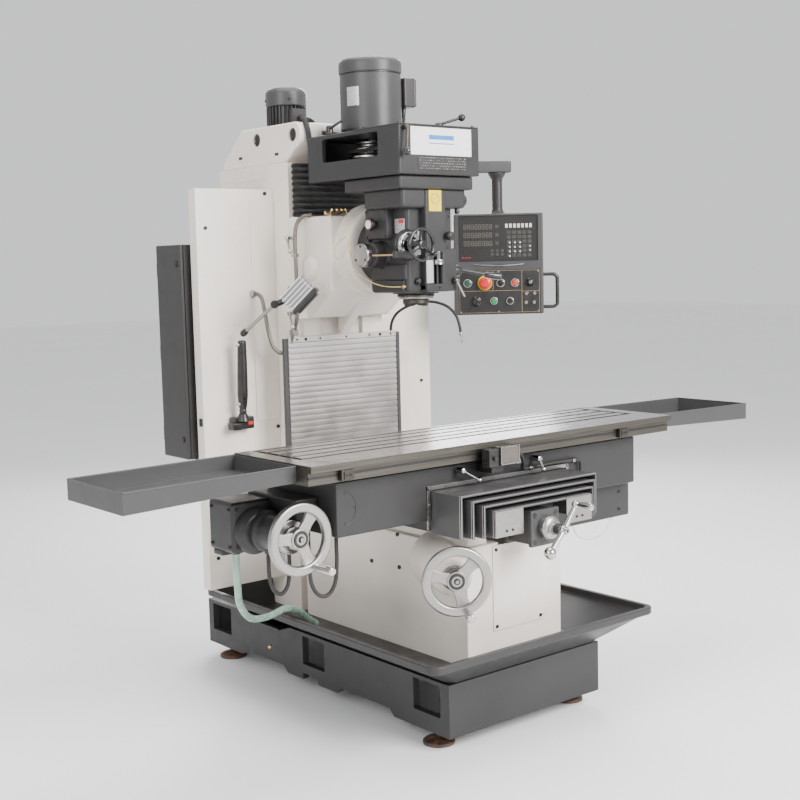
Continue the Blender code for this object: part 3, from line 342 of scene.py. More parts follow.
lamp_alloy = metal("extruded lamp alloy", (0.42, 0.42, 0.42), 0.28, (1, 1, 1), 300.0, 0.05)
brass = metal("brass", (0.72, 0.5, 0.24), 0.28, (1, 1, 1), 180.0)
braid = metal("braided conduit", (0.19, 0.175, 0.15), 0.42, (1, 1, 1), 500.0, 0.25, 0.3)
black = plastic("black plastic", (0.016, 0.015, 0.014), 0.34, 200.0, 0.1)
black_gloss = plastic("black phenolic", (0.012, 0.011, 0.011), 0.16, 60.0, 0.02, Coat_Weight=0.4,
                      Coat_Roughness=0.08)
rubber = plastic("rubber", (0.022, 0.021, 0.02), 0.62, 340.0, 0.25)
red = plastic("red plastic", (0.62, 0.022, 0.018), 0.28, 300.0, 0.05, Coat_Weight=0.3, Coat_Roughness=0.15)
green = plastic("green plastic", (0.015, 0.22, 0.075), 0.3, 300.0, 0.05, Coat_Weight=0.3, Coat_Roughness=0.15)
dark_green = plastic("dark green lens", (0.012, 0.07, 0.03), 0.25, 300.0, 0.05, Coat_Weight=0.3,
                     Coat_Roughness=0.15)
yellow = plastic("yellow plastic", (0.8, 0.5, 0.02), 0.32, 300.0, 0.05)
cream = plastic("cream insulation", (0.68, 0.56, 0.36), 0.36, 200.0, 0.06)
lube_tube = plastic("amber tube", (0.72, 0.6, 0.22), 0.26, 120.0, 0.05, Transmission_Weight=0.15, IOR=1.45)
hose_look = green_hose_look()
bellows = bellows_cloth()
rusty = rusty_steel()
screen_look = glass_face()
clear = plastic("clear cover", (0.72, 0.68, 0.62), 0.1, 120.0, 0.03, Transmission_Weight=0.75, IOR=1.46)
plate_white = printed("white plate", (0.84, 0.83, 0.82), (0.7, 0.7, 0.7), 0.026, 0.011, 0.3, 0.3)
plate_dark = printed("speed plate", (0.03, 0.028, 0.026), (0.42, 0.41, 0.38), 0.011, 0.0085, 0.34, 0.62)
plate_steel = printed("steel label", (0.62, 0.61, 0.59), (0.1, 0.1, 0.1), 0.009, 0.006, 0.32, 0.55, 0.6)
plate_yellow = printed("yellow label", (0.84, 0.62, 0.02), (0.2, 0.08, 0.02), 0.018, 0.012, 0.4, 0.35)
segment = plastic("unlit segments", (0.13, 0.115, 0.095), 0.3, 300.0, 0.05)
keycap = plastic("key caps", (0.045, 0.042, 0.038), 0.35, 300.0, 0.08)
keycap_light = plastic("light key caps", (0.62, 0.6, 0.56), 0.35, 300.0, 0.08)


# ---------------------------------------------------------------- building pieces
def axes_to(direction, around=0.0):
    """Rotation that turns +Z to a direction."""
    turn = Vector(direction).normalized().to_track_quat("Z", "Y").to_matrix().to_4x4()
    return turn @ Matrix.Rotation(around, 4, "Z")


def curve_through(points, step):
    """Points at an even step along a smooth curve through the route's own points."""
    points = [Vector(p) for p in points]
    ends = [2 * points[0] - points[1]] + points + [2 * points[-1] - points[-2]]
    fine = []
    for a, b, c, d in zip(ends, ends[1:], ends[2:], ends[3:]):
        for i in range(24):
            t = i / 24
            fine.append(0.5 * (2 * b + (c - a) * t + (2 * a - 5 * b + 4 * c - d) * t ** 2
                               + (3 * b - a - 3 * c + d) * t ** 3))
    fine.append(points[-1])
    route, travelled = [fine[0]], 0.0
    for before, after in zip(fine, fine[1:]):
        travelled += (after - before).length
        if travelled >= step:
            route.append(after)
            travelled = 0.0
    if (route[-1] - fine[-1]).length < step / 2:
        route.pop()
    return route + [fine[-1]]


def softened(profile, radius, steps=2):
    """A lathe profile with its inner corners cut back to small arcs."""
    out = [Vector(profile[0])]
    for a, b, c in zip(profile, profile[1:], profile[2:]):
        a, b, c = Vector(a), Vector(b), Vector(c)
        r = min(radius, (a - b).length * 0.45, (c - b).length * 0.45)
        start, end = b + (a - b).normalized() * r, b + (c - b).normalized() * r
        for i in range(steps + 1):
            t = i / steps
            out.append(start * (1 - t) ** 2 + 2 * b * t * (1 - t) + end * t * t)
    return out + [Vector(profile[-1])]


class Piece:
    """One visible piece: shapes gathered in machine coordinates, then ridden on a body."""

    def __init__(self, name, body, mat):
        self.name, self.body, self.mat = name, body, mat
        self.bm = bmesh.new()

    def _take(self, shape, matrix):
        shape.transform(matrix)
        mesh = bpy.data.meshes.new("part")
        shape.to_mesh(mesh)
        shape.free()
        self.bm.from_mesh(mesh)
        bpy.data.meshes.remove(mesh)
        return self

    def box(self, low, high, r=0.002, segments=2, turn=None):
        """A rounded box between two corners, or turned about its middle."""
        low, high = Vector(low), Vector(high)
        size = Vector([abs(a) for a in (high - low)])
        shape = bmesh.new()
        bmesh.ops.create_cube(shape, size=1.0)
        bmesh.ops.scale(shape, vec=size, verts=shape.verts)
        r = min(r, min(size) * 0.45)
        if r > 0:
            bmesh.ops.bevel(shape, geom=shape.edges[:], offset=r, segments=segments, profile=0.5,
                            affect="EDGES")
        matrix = Matrix.Translation((low + high) / 2)
        return self._take(shape, matrix @ turn if turn else matrix)

    def block(self, place, size, r=0.002, segments=2):
        """A rounded box of a size, at a matrix."""
        half = Vector(size) / 2
        shape = bmesh.new()
        bmesh.ops.create_cube(shape, size=1.0)
        bmesh.ops.scale(shape, vec=half * 2, verts=shape.verts)
        r = min(r, min(size) * 0.45)
        if r > 0:
            bmesh.ops.bevel(shape, geom=shape.edges[:], offset=r, segments=segments, profile=0.5,
                            affect="EDGES")
        return self._take(shape, place)

    def lathe(self, centre, profile, axis=(0, 0, 1), steps=56, r=0.0015, around=0.0):
        """Turned shape; profile rows are (radius, height along the axis)."""
        rows = softened(profile, r) if r else [Vector(p) for p in profile]
        closed = profile[0][0] > 1e-6
        shape = bmesh.new()
        rings = []
        for row in rows:
            if row[0] < 1e-6:
                rings.append([shape.verts.new((0, 0, row[1]))])
                continue
            rings.append([shape.verts.new((row[0] * math.cos(2 * math.pi * i / steps),
                                           row[0] * math.sin(2 * math.pi * i / steps), row[1]))
                          for i in range(steps)])
        pairs = list(zip(rings, rings[1:]))
        if closed:
            pairs.append((rings[-1], rings[0]))
        for a, b in pairs:
            for i in range(steps):
                j = (i + 1) % steps
                if len(a) == 1 and len(b) == 1:
                    continue
                if len(a) == 1:
                    shape.faces.new((a[0], b[i], b[j]))
                elif len(b) == 1:
                    shape.faces.new((a[i], b[0], a[j]))
                else:
                    shape.faces.new((a[i], b[i], b[j], a[j]))
        bmesh.ops.recalc_face_normals(shape, faces=shape.faces)
        return self._take(shape, Matrix.Translation(centre) @ axes_to(axis, around))

    def rod(self, centre, radius, length, axis=(0, 0, 1), r=0.001, steps=32, taper=None):
        """A round bar about its middle."""
        end = radius if taper is None else taper
        half = length / 2
        return self.lathe(centre, [(0, half), (end, half), (radius, -half), (0, -half)], axis, steps, r)

    def ball(self, centre, radius, steps=28):
        rows = [(radius * math.sin(math.pi * i / 14), radius * math.cos(math.pi * i / 14)) for i in range(15)]
        rows[0], rows[-1] = (0, radius), (0, -radius)
        return self.lathe(centre, rows, (0, 0, 1), steps, 0)

    def tube(self, points, radius, step=None, sides=14, ribs=0.0, pitch=0.004, ends=None):
        """A swept round bar; ribs makes it corrugated; radius may run to an end radius."""
        if ribs:
            step = pitch / 2
        route = curve_through(points, step) if step else [Vector(p) for p in points]
        shape = bmesh.new()
        rings = []
        normal = None
        for i, point in enumerate(route):
            ahead = route[min(i + 1, len(route) - 1)] - route[max(i - 1, 0)]
            ahead.normalize()
            if normal is None:
                normal = ahead.orthogonal().normalized()
            normal = (normal - ahead * normal.dot(ahead)).normalized()
            side = ahead.cross(normal)
            here = radius + (ribs if i % 2 else 0.0)
            if ends:
                here = radius + (ends - radius) * i / (len(route) - 1)
            rings.append([shape.verts.new(point + here * (normal * math.cos(2 * math.pi * k / sides)
                                                          + side * math.sin(2 * math.pi * k / sides)))
                          for k in range(sides)])
        for a, b in zip(rings, rings[1:]):
            for k in range(sides):
                shape.faces.new((a[k], a[(k + 1) % sides], b[(k + 1) % sides], b[k]))
        shape.faces.new(rings[0][::-1])
        shape.faces.new(rings[-1])
        bmesh.ops.recalc_face_normals(shape, faces=shape.faces)
        return self._take(shape, Matrix.Identity(4))

    def plate(self, outline, thickness, place, r=0.0015, segments=2):
        """A flat outline, thickened both ways from a matrix's XY plane, with rounded edges."""
        shape = bmesh.new()
        top = [shape.verts.new((u, v, thickness / 2)) for u, v in outline]
        low = [shape.verts.new((u, v, -thickness / 2)) for u, v in outline]
        shape.faces.new(top)
        shape.faces.new(low[::-1])
        for i in range(len(outline)):
            j = (i + 1) % len(outline)
            shape.faces.new((top[i], low[i], low[j], top[j]))
        bmesh.ops.recalc_face_normals(shape, faces=shape.faces)
        if r:
            edges = [e for e in shape.edges if e.calc_face_angle(0) > math.radians(25)]
            bmesh.ops.bevel(shape, geom=edges, offset=r, segments=segments, profile=0.5, affect="EDGES",
                            clamp_overlap=True)
        return self._take(shape, place)

    def socket_screw(self, centre, axis, radius=0.006, head=0.006):
        """A cap screw with a hexagon socket."""
        rows = [(0, head * 0.35), (radius * 0.5, head * 0.35), (radius * 0.56, head), (radius, head),
                (radius, -0.001), (0, -0.001)]
        self.lathe(centre, rows, axis, 18, 0.0004)
        return self

    def hex_nut(self, centre, axis, radius=0.01, height=0.008):
        outline = [(radius * math.cos(math.pi * i / 3), radius * math.sin(math.pi * i / 3)) for i in range(6)]
        return self.plate(outline, height, Matrix.Translation(centre) @ axes_to(axis), 0.0008)

    def done(self, *replaced, angle=32.0, tools=(), keep_free=False):
        """Make the object, ride it on its body, and stand it for CAD nodes."""
        mesh = bpy.data.meshes.new(self.name)
        bmesh.ops.translate(self.bm, vec=OFFSET, verts=self.bm.verts)
        self.bm.to_mesh(mesh)
        self.bm.free()
        obj = bpy.data.objects.new(self.name, mesh)
        bpy.context.scene.collection.objects.link(obj)
        if tools:
            carve(obj, tools)
        smooth(obj, angle)
        obj.data.materials.clear()
        obj.data.materials.append(self.mat)
        if replaced:
            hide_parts(*replaced)
        if not keep_free:
            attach(obj, self.body)
        return obj


def smooth(obj, angle):
    obj.data.shade_smooth()
    obj.data.set_sharp_from_angle(angle=math.radians(angle))
    modifier = obj.modifiers.new("weighted normals", "WEIGHTED_NORMAL")
    modifier.keep_sharp = True


def carve(obj, tools):
    """Cut tool pieces out of an object at once, and remove the tools."""
    for tool in tools:
        modifier = obj.modifiers.new("cut", "BOOLEAN")
        modifier.operation = "DIFFERENCE"
        modifier.solver = "EXACT"
        modifier.object = tool
    bpy.context.view_layer.update()
    mesh = bpy.data.meshes.new_from_object(obj.evaluated_get(bpy.context.evaluated_depsgraph_get()))
    obj.modifiers.clear()
    obj.data = mesh
    for tool in tools:
        bpy.data.objects.remove(tool)


def cutter(build):
    """A loose tool object from a piece, for carve()."""
    mesh = bpy.data.meshes.new("tool")
    bmesh.ops.translate(build.bm, vec=OFFSET, verts=build.bm.verts)
    build.bm.to_mesh(mesh)
    build.bm.free()
    obj = bpy.data.objects.new("tool", mesh)
    bpy.context.scene.collection.objects.link(obj)
    return obj


def finer(node, mat, r, segments=2, angle=30.0):
    """A CAD node's own shape with its edges rounded, in place of the node."""
    mesh = frame["nodes"][node].data.copy()
    shape = bmesh.new()
    shape.from_mesh(mesh)
    bmesh.ops.remove_doubles(shape, verts=shape.verts, dist=0.00002)
    bmesh.ops.dissolve_limit(shape, angle_limit=math.radians(1.0), verts=shape.verts, edges=shape.edges)
    shape.to_mesh(mesh)
    shape.free()
    obj = bpy.data.objects.new(node + "_finish", mesh)
    bpy.context.scene.collection.objects.link(obj)
    obj.matrix_world = frame["nodes"][node].matrix_world
    modifier = obj.modifiers.new("rounded", "BEVEL")
    modifier.width = r
    modifier.segments = segments
    modifier.limit_method = "ANGLE"
    modifier.angle_limit = math.radians(angle)
    modifier.use_clamp_overlap = True
    modifier.miter_outer = "MITER_ARC"
    bpy.context.view_layer.update()
    final = bpy.data.meshes.new_from_object(obj.evaluated_get(bpy.context.evaluated_depsgraph_get()))
    obj.modifiers.clear()
    obj.data = final
    smooth(obj, 35.0)
    obj.data.materials.clear()
    obj.data.materials.append(mat)
    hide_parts(node)
    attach(obj, BODY_OF[node])
    return obj


def side(x):
    """Local X and Y become machine Y and Z."""
    return Matrix.Translation((x, 0, 0)) @ Matrix(((0, 0, 1, 0), (1, 0, 0, 0), (0, 1, 0, 0), (0, 0, 0, 1)))


def front(y):
    """Local X and Y become machine X and Z."""
    return Matrix.Translation((0, y, 0)) @ Matrix.Rotation(math.radians(90), 4, "X")


# ---------------------------------------------------------------- cords
DRAIN_HOSE = ((-0.8, 0.4, 0.639), (-0.8, 0.402, 0.59), (-0.78, 0.43, 0.52), (-0.73, 0.5, 0.435),
              (-0.65, 0.57, 0.365), (-0.56, 0.61, 0.345), (-0.48, 0.63, 0.352), (-0.42, 0.645, 0.33),
              (-0.37, 0.66, 0.29), (-0.33, 0.672, 0.262))
CABLE_LOOP_LEFT = ((-0.752, 0.3, 0.649), (-0.752, 0.3, 0.61), (-0.748, 0.303, 0.56), (-0.732, 0.306, 0.52),
                   (-0.705, 0.31, 0.503), (-0.68, 0.314, 0.52), (-0.668, 0.318, 0.565), (-0.666, 0.32, 0.62),
                   (-0.666, 0.32, 0.68), (-0.666, 0.32, 0.7345))
CABLE_LOOP_RIGHT = ((-0.65, 0.24, 0.7345), (-0.65, 0.24, 0.68), (-0.65, 0.24, 0.6), (-0.645, 0.238, 0.535),
                    (-0.622, 0.234, 0.498), (-0.59, 0.23, 0.496), (-0.568, 0.226, 0.53),
                    (-0.562, 0.224, 0.59),
                    (-0.562, 0.224, 0.64), (-0.562, 0.224, 0.6895))


def free_cord(name, route, radius, mat, node, step, ribs=0.0):
    path = curve_through(route, step)
    piece = Piece(name, "saddle", mat)
    if ribs:
        piece.tube(route, radius - ribs, sides=14, ribs=ribs, pitch=0.005)
    else:
        piece.tube(route, radius, step=step / 3, sides=18)
    obj = piece.done(node, angle=60.0)
    return obj


free_cord("drain_hose_skin", DRAIN_HOSE, 0.011, hose_look, "drain_hose", 0.034)
free_cord("cable_loop_left_skin", CABLE_LOOP_LEFT, 0.006, rubber, "cable_loop_left", 0.018)
free_cord("cable_loop_right_skin", CABLE_LOOP_RIGHT, 0.006, rubber, "cable_loop_right",
          0.018)


# ---------------------------------------------------------------- base, tray and bed
def make_base():
    finer("base_casting", grey_cast, 0.0035)
    make_tray()
    finer("bed", white_cast, 0.005)
    for node in [n for n in BODY_OF if n.startswith("levelling_foot")]:
        low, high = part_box(node)
        centre = (Vector(low) + Vector(high)) / 2 - OFFSET
        centre.z = 0.0
        foot = Piece(node + "_finish", "machine", rusty)
        foot.lathe(centre, [(0, 0.021), (0.014, 0.021), (0.03, 0.0175), (0.046, 0.0115), (0.05, 0.008),
                            (0.05, 0.0), (0, 0.0)], steps=48)
        foot.rod(centre + Vector((0, 0, 0.033)), 0.01, 0.032, r=0.0006, steps=24)
        for i in range(4):
            foot.lathe(centre + Vector((0, 0, 0.024 + 0.0022 * i)), [(0, 0.001), (0.0108, 0.0), (0, -0.001)],
                       r=0,
                       steps=24)
        foot.hex_nut(centre + Vector((0, 0, 0.0385)), Z, 0.019, 0.011)
        foot.done(node)
    details = Piece("base_brass_stoppers", "machine", brass)
    details.lathe((-0.3275, 0.969, 0.114), [(0, 0.006), (0.005, 0.006), (0.007, 0.003), (0.009, 0), (0, 0)],
                  -X, 20)
    details.done()
    plate = Piece("bed_cover_plate", "machine", white)
    plate.box((-0.099, 0.044, 0.322), (0.118, 0.0478, 0.592), 0.0012)
    plate.done()
    screws = Piece("bed_screws", "machine", black)
    for x in (-0.086, 0.105):
        for z in (0.336, 0.578):
            screws.socket_screw((x, 0.044, z), -Y, 0.0055, 0.003)
    for y, z in ((0.518, 0.484), (0.373, 0.487), (0.379, 0.594), (0.229, 0.597)):
        screws.socket_screw((-0.204, y, z), -X, 0.007, 0.004)
    screws.done()
    seam = Piece("tray_drain_screen", "machine", dull_steel)
    seam.box((-0.4, 0.8, 0.2246), (-0.26, 0.98, 0.229), 0.0015)
    for i in range(9):
        seam.box((-0.395, 0.812 + 0.018 * i, 0.2286), (-0.265, 0.82 + 0.018 * i, 0.231), 0.0008)
    seam.done()


def rounded_loop(shape, half, front, rear, radius, z, steps=6):
    """A ring of vertices round a rectangle with rounded corners."""
    ring = []
    for cx, cy, start in ((half, rear, 0), (-half, rear, 90), (-half, front, 180), (half, front, 270)):
        cx -= math.copysign(radius, cx)
        cy += radius if cy == front else -radius
        for k in range(steps + 1):
            angle = math.radians(start + 90 * k / steps)
            ring.append(shape.verts.new((cx + radius * math.cos(angle), cy + radius * math.sin(angle), z)))
    return ring


def make_tray():
    """Splash tray: flared wall, flat rolled rim and a floor that reaches under the bed."""
    shape = bmesh.new()
    rows = ((0.313, 0.006, 1.148, 0.03, 0.2128), (0.315, 0.004, 1.15, 0.03, 0.2128),
            (0.46, -0.096, 1.15, 0.032, 0.296), (0.466, -0.102, 1.15, 0.032, 0.3),
            (0.478, -0.113, 1.15, 0.034, 0.3005), (0.4805, -0.1155, 1.15, 0.035, 0.3035),
            (0.4805, -0.1155, 1.15, 0.035, 0.3205), (0.4785, -0.1135, 1.148, 0.034, 0.3235),
            (0.464, -0.099, 1.134, 0.024, 0.3235), (0.462, -0.097, 1.132, 0.022, 0.3215),
            (0.461, -0.096, 1.131, 0.022, 0.306), (0.454, -0.089, 1.128, 0.022, 0.3),
            (0.31, 0.018, 1.12, 0.024, 0.229), (0.306, 0.022, 1.116, 0.024, 0.226))
    rings = [rounded_loop(shape, *row) for row in rows]
    count = len(rings[0])
    for a, b in zip(rings, rings[1:]):
        for k in range(count):
            shape.faces.new((a[k], a[(k + 1) % count], b[(k + 1) % count], b[k]))
    shape.faces.new(rings[0][::-1])
    shape.faces.new(rings[-1])
    bmesh.ops.recalc_face_normals(shape, faces=shape.faces)
    tray = Piece("splash_tray_finish", "machine", grey)
    tray._take(shape, Matrix.Identity(4))
    tray.done("splash_tray", angle=30.0)


def make_column():
    finer("column", white, 0.004)
    strip = Piece("guard_joint_strip", "machine", white)
    strip.box((-0.299, 1.0402, 0.919), (-0.2006, 1.045, 1.702), 0.0016)
    strip.done()
    for node in ("guard_left", "guard_right"):
        finer(node, white, 0.0008, 2)
    heads = Piece("guard_screws", "machine", black)
    for x, z in ((-0.211, 0.891), (0.468, 1.006), (-0.235, 1.72), (0.235, 1.7), (0.235, 0.4), (-0.235, 0.4),
                 (0.468, 1.6), (0.468, 0.45), (-0.48, 0.45), (-0.48, 1.6)):
        heads.socket_screw((x, 1.0448, z), -Y, 0.0065, 0.004)
    heads.box((-0.5205, 1.052, 0.918), (-0.515, 1.07, 0.946), 0.002)
    heads.done()
    # pressed rear access door of the counterweight shaft
    rear = Piece("column_rear_door", "machine", white)
    rear.box((-0.15, 1.3978, 0.42), (0.15, 1.4014, 1.56), 0.0014)
    rear.box((-0.128, 1.401, 0.445), (0.128, 1.403, 1.535), 0.0012)
    rear.done()
    knobs = Piece("column_rear_screws", "machine", black)
    for x in (-0.139, 0.139):
        for z in (0.434, 0.8, 1.18, 1.546):
            knobs.socket_screw((x, 1.4014, z), Y, 0.006, 0.004)
    for i in range(10):
        knobs.box((-0.09, 1.4026, 0.52 + 0.018 * i), (0.09, 1.4044, 0.527 + 0.018 * i), 0.0008)
    knobs.done()
    finer("electrical_cabinet", grey, 0.002)
    finer("cabinet_door", grey, 0.002)
    trim = Piece("door_latches", "door", black)
    for z in (0.868, 1.48):
        trim.rod((-0.549, 1.135, z), 0.011, 0.005, X, steps=28)
        trim.box((-0.5525, 1.132, z - 0.008), (-0.55, 1.138, z + 0.008), 0.001)
    trim.done()
    hinges = Piece("cabinet_hinges", "machine", black)
    for z in (0.88, 1.17, 1.46):
        hinges.rod((-0.54, 1.278, z), 0.005, 0.05, Z, steps=18)
    hinges.done()
    back = Piece("cabinet_glands", "machine", black)
    for x in (-0.46, -0.4, -0.34, -0.28):
        back.lathe((x, 1.19, 0.8), [(0, 0.026), (0.007, 0.026), (0.011, 0.018), (0.013, 0.01), (0.013, 0),
                                    (0, 0)],
                   -Z, 20)
    back.done()
    outline = [(1.397, 1.8226), (1.397, 1.85), (1.33, 1.906), (1.262, 1.9605), (0.925, 1.9605),
               (0.905, 1.955),
               (0.891, 1.942), (0.885, 1.925), (0.885, 1.908), (0.891, 1.89), (0.905, 1.876), (0.925, 1.868),
               (0.985, 1.8226)]
    cover = Piece("top_cover_finish", "machine", white)
    cover.plate(outline, 0.369, side(0), 0.007, 3)
    tools = []
    for y in (1.16, 0.933):
        tools.append(cutter(Piece("tool", "machine", white).rod((-0.185, y, 1.917), 0.0235, 0.03, X, 0, 40)))
        tools.append(cutter(Piece("tool", "machine", white).rod((0.185, y, 1.917), 0.0235, 0.03, X, 0, 40)))
    cover.done("top_cover", tools=tools)
    # The dark dished discs set in the carved holes are painted shade: they stand for the dark inside of the
    # holes. The same piece holds small dark patches on the cover sides.
    hole_shade = Piece("top_cover_hole_shade", "machine", black)
    for y in (1.16, 0.933):
        for s in (-1, 1):
            hole_shade.lathe((s * 0.172, y, 1.917), [(0, 0.002), (0.018, 0.003), (0.0228, 0.008), (0.0232, 0),
                                                (0, 0)],
                        s * X, 40)
    for y, z in ((1.271, 1.872), (1.033, 1.8688)):
        for s in (-1, 1):
            hole_shade.box((s * 0.184 - 0.003, y - 0.011, z - 0.016), (s * 0.184 + 0.003, y + 0.011, z - 0.006),
                      0.002)
    hole_shade.done()
    cap = Piece("column_cap_seam", "machine", white)
    cap.box((-0.2012, 0.9442, 1.774), (0.2012, 1.399, 1.78), 0.001)
    cap.done()


def make_lift_motor():
    motor = Piece("lift_motor_finish", "machine", grey_light)
    c = Vector((0, 1.235, 0))
    motor.lathe(c, [(0, 2.1198), (0.044, 2.1196), (0.046, 2.115), (0.058, 2.115), (0.06, 2.1185),
                    (0.069, 2.113),
                    (0.0755, 2.104), (0.0765, 2.096), (0.0765, 2.056), (0.0745, 2.053), (0.072, 2.053),
                    (0.07, 2.056), (0, 2.056)], steps=72, r=0.001)
    motor.lathe(c, [(0, 2.057), (0.061, 2.057), (0.061, 1.975), (0.074, 1.973), (0.086, 1.97),
                    (0.087, 1.9626), (0, 1.9626)], steps=72)
    for i in range(30):
        angle = 2 * math.pi * i / 30
        place = Matrix.Translation(c + Vector((0, 0, 2.012))) @ Matrix.Rotation(angle, 4, "Z") @ \
            Matrix.Translation((0.0665, 0, 0))
        motor.block(place, (0.015, 0.0028, 0.08), 0.0009, 1)
    motor.box((-0.03, 1.15, 1.985), (0.03, 1.19, 2.04), 0.005)
    motor.done("lift_motor")
    dark = Piece("lift_motor_fittings", "machine", black)
    for i in range(6):
        dark.lathe(c + Vector((0, 0, 2.1152)), [(0.012 + 0.006 * i, 0.0003), (0.012 + 0.006 * i, 0.0022),
                   (0.0145 + 0.006 * i, 0.0022), (0.0145 + 0.006 * i, 0.0003)], steps=48, r=0)
    for i in range(4):
        angle = math.pi / 4 + math.pi / 2 * i + 0.35
        out = Vector((math.cos(angle), math.sin(angle), 0))
        dark.socket_screw(c + Vector((0, 0, 2.075)) + out * 0.0763, out, 0.0045, 0.003)
        dark.hex_nut(c + Vector((0, 0, 1.9735)) + out * 0.08, Z, 0.0065, 0.006)
    dark.rod((0, 1.145, 2.005), 0.01, 0.02, Y, steps=20)
    dark.done()
    cable = Piece("lift_motor_conduit", "machine", rubber)
    cable.tube(((0.0, 1.145, 2.005), (0.0, 1.11, 1.992), (-0.02, 1.04, 1.9725), (-0.08, 0.97, 1.9715),
                (-0.135, 0.922, 1.969), (-0.155, 0.89, 1.953), (-0.158, 0.874, 1.92), (-0.15, 0.876, 1.87)),
               0.0085, sides=14, ribs=0.0015, pitch=0.006)
    cable.done()


def make_bellows():
    """Pleated cover above the carriage: ridge and valley folds with loose side gussets."""
    pleats, low, high, samples = 9, 1.6325, 1.8175, 8
    columns = 46
    shape = bmesh.new()
    rows = []
    for j in range(pleats * samples + 1):
        t = j / samples
        phase = abs((t % 1.0) * 2 - 1)
        fold = phase ** 1.25
        row = []
        for i in range(columns + 1):
            u = i / columns * 2 - 1
            edge = max(0.0, (abs(u) - 0.86) / 0.14)
            sag = 0.003 * math.sin(u * 5.0 + t * 1.3) * (1 - edge) + 0.002 * math.sin(u * 17 + t * 2.1)
            y = 0.9255 - 0.0195 * fold * (1 - 0.55 * edge) + 0.0006 * math.sin(u * 31 + t)
            z = low + (high - low) * j / (pleats * samples) + sag * 0.6 * math.sin(math.pi * (t % 1.0)) ** 2
            z = min(max(z, low), high)
            row.append(shape.verts.new((u * 0.1995, y, z)))
        rows.append(row)
    for a, b in zip(rows, rows[1:]):
        for i in range(columns):
            shape.faces.new((a[i], a[i + 1], b[i + 1], b[i]))
    piece = Piece("bellows_cloth", "machine", bellows)
    piece._take(shape, Matrix.Identity(4))
    obj = piece.done("upper_bellows", angle=35.0, keep_free=True)
    obj.modifiers.clear()
    thick = obj.modifiers.new("thickness", "SOLIDIFY")
    thick.thickness = 0.0008
    thick.offset = 1.0
    thick.use_rim = True
    bake(obj)
    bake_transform(obj)


def bake(obj):
    """Apply an object's modifiers for good."""
    bpy.context.view_layer.update()
    mesh = bpy.data.meshes.new_from_object(obj.evaluated_get(bpy.context.evaluated_depsgraph_get()))
    obj.modifiers.clear()
    obj.data = mesh


def make_apron():
    """Louvred apron of extruded slats below the carriage."""
    slats, low, high = 28, 0.655, 1.2164
    pitch = (high - low) / slats
    apron = Piece("apron_slats", "machine", slat_alloy)
    for i in range(slats):
        base = low + pitch * i
        top = base + pitch
        if i == slats - 1:
            outline = [(0.9255, base + 0.0004), (0.9255, top), (0.9142, top), (0.9142, base + 0.0016)]
        else:
            outline = [(0.9255, base + 0.0004), (0.9255, top + 0.0002), (0.918, top + 0.0002),
                       (0.9156, top - 0.0004),
                       (0.9146, base + 0.0048), (0.9149, base + 0.0034), (0.9195, base + 0.0026),
                       (0.9195, base + 0.0004)]
        apron.plate(outline, 0.4816, side(0), 0.0003, 1)
    obj = apron.done("slat_apron", angle=28.0, keep_free=True)
    obj.modifiers.clear()
    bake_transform(obj)
    screws = Piece("apron_screws", "carriage", black)
    for x in (-0.205, -0.168, -0.105, 0.01, 0.115, 0.165, 0.215):
        radius = 0.0056 if x in (-0.168, 0.165) else 0.0035
        screws.socket_screw((x, 0.9142, 1.2068), -Y, radius, 0.0022)
    screws.done()
    rail = Piece("apron_rails", "machine", grey_light)
    for s in (-1, 1):
        rail.box((s * 0.2515 - 0.0075, 0.916, 0.655), (s * 0.2515 + 0.0075, 0.93, 1.212), 0.002)
    rail.done()


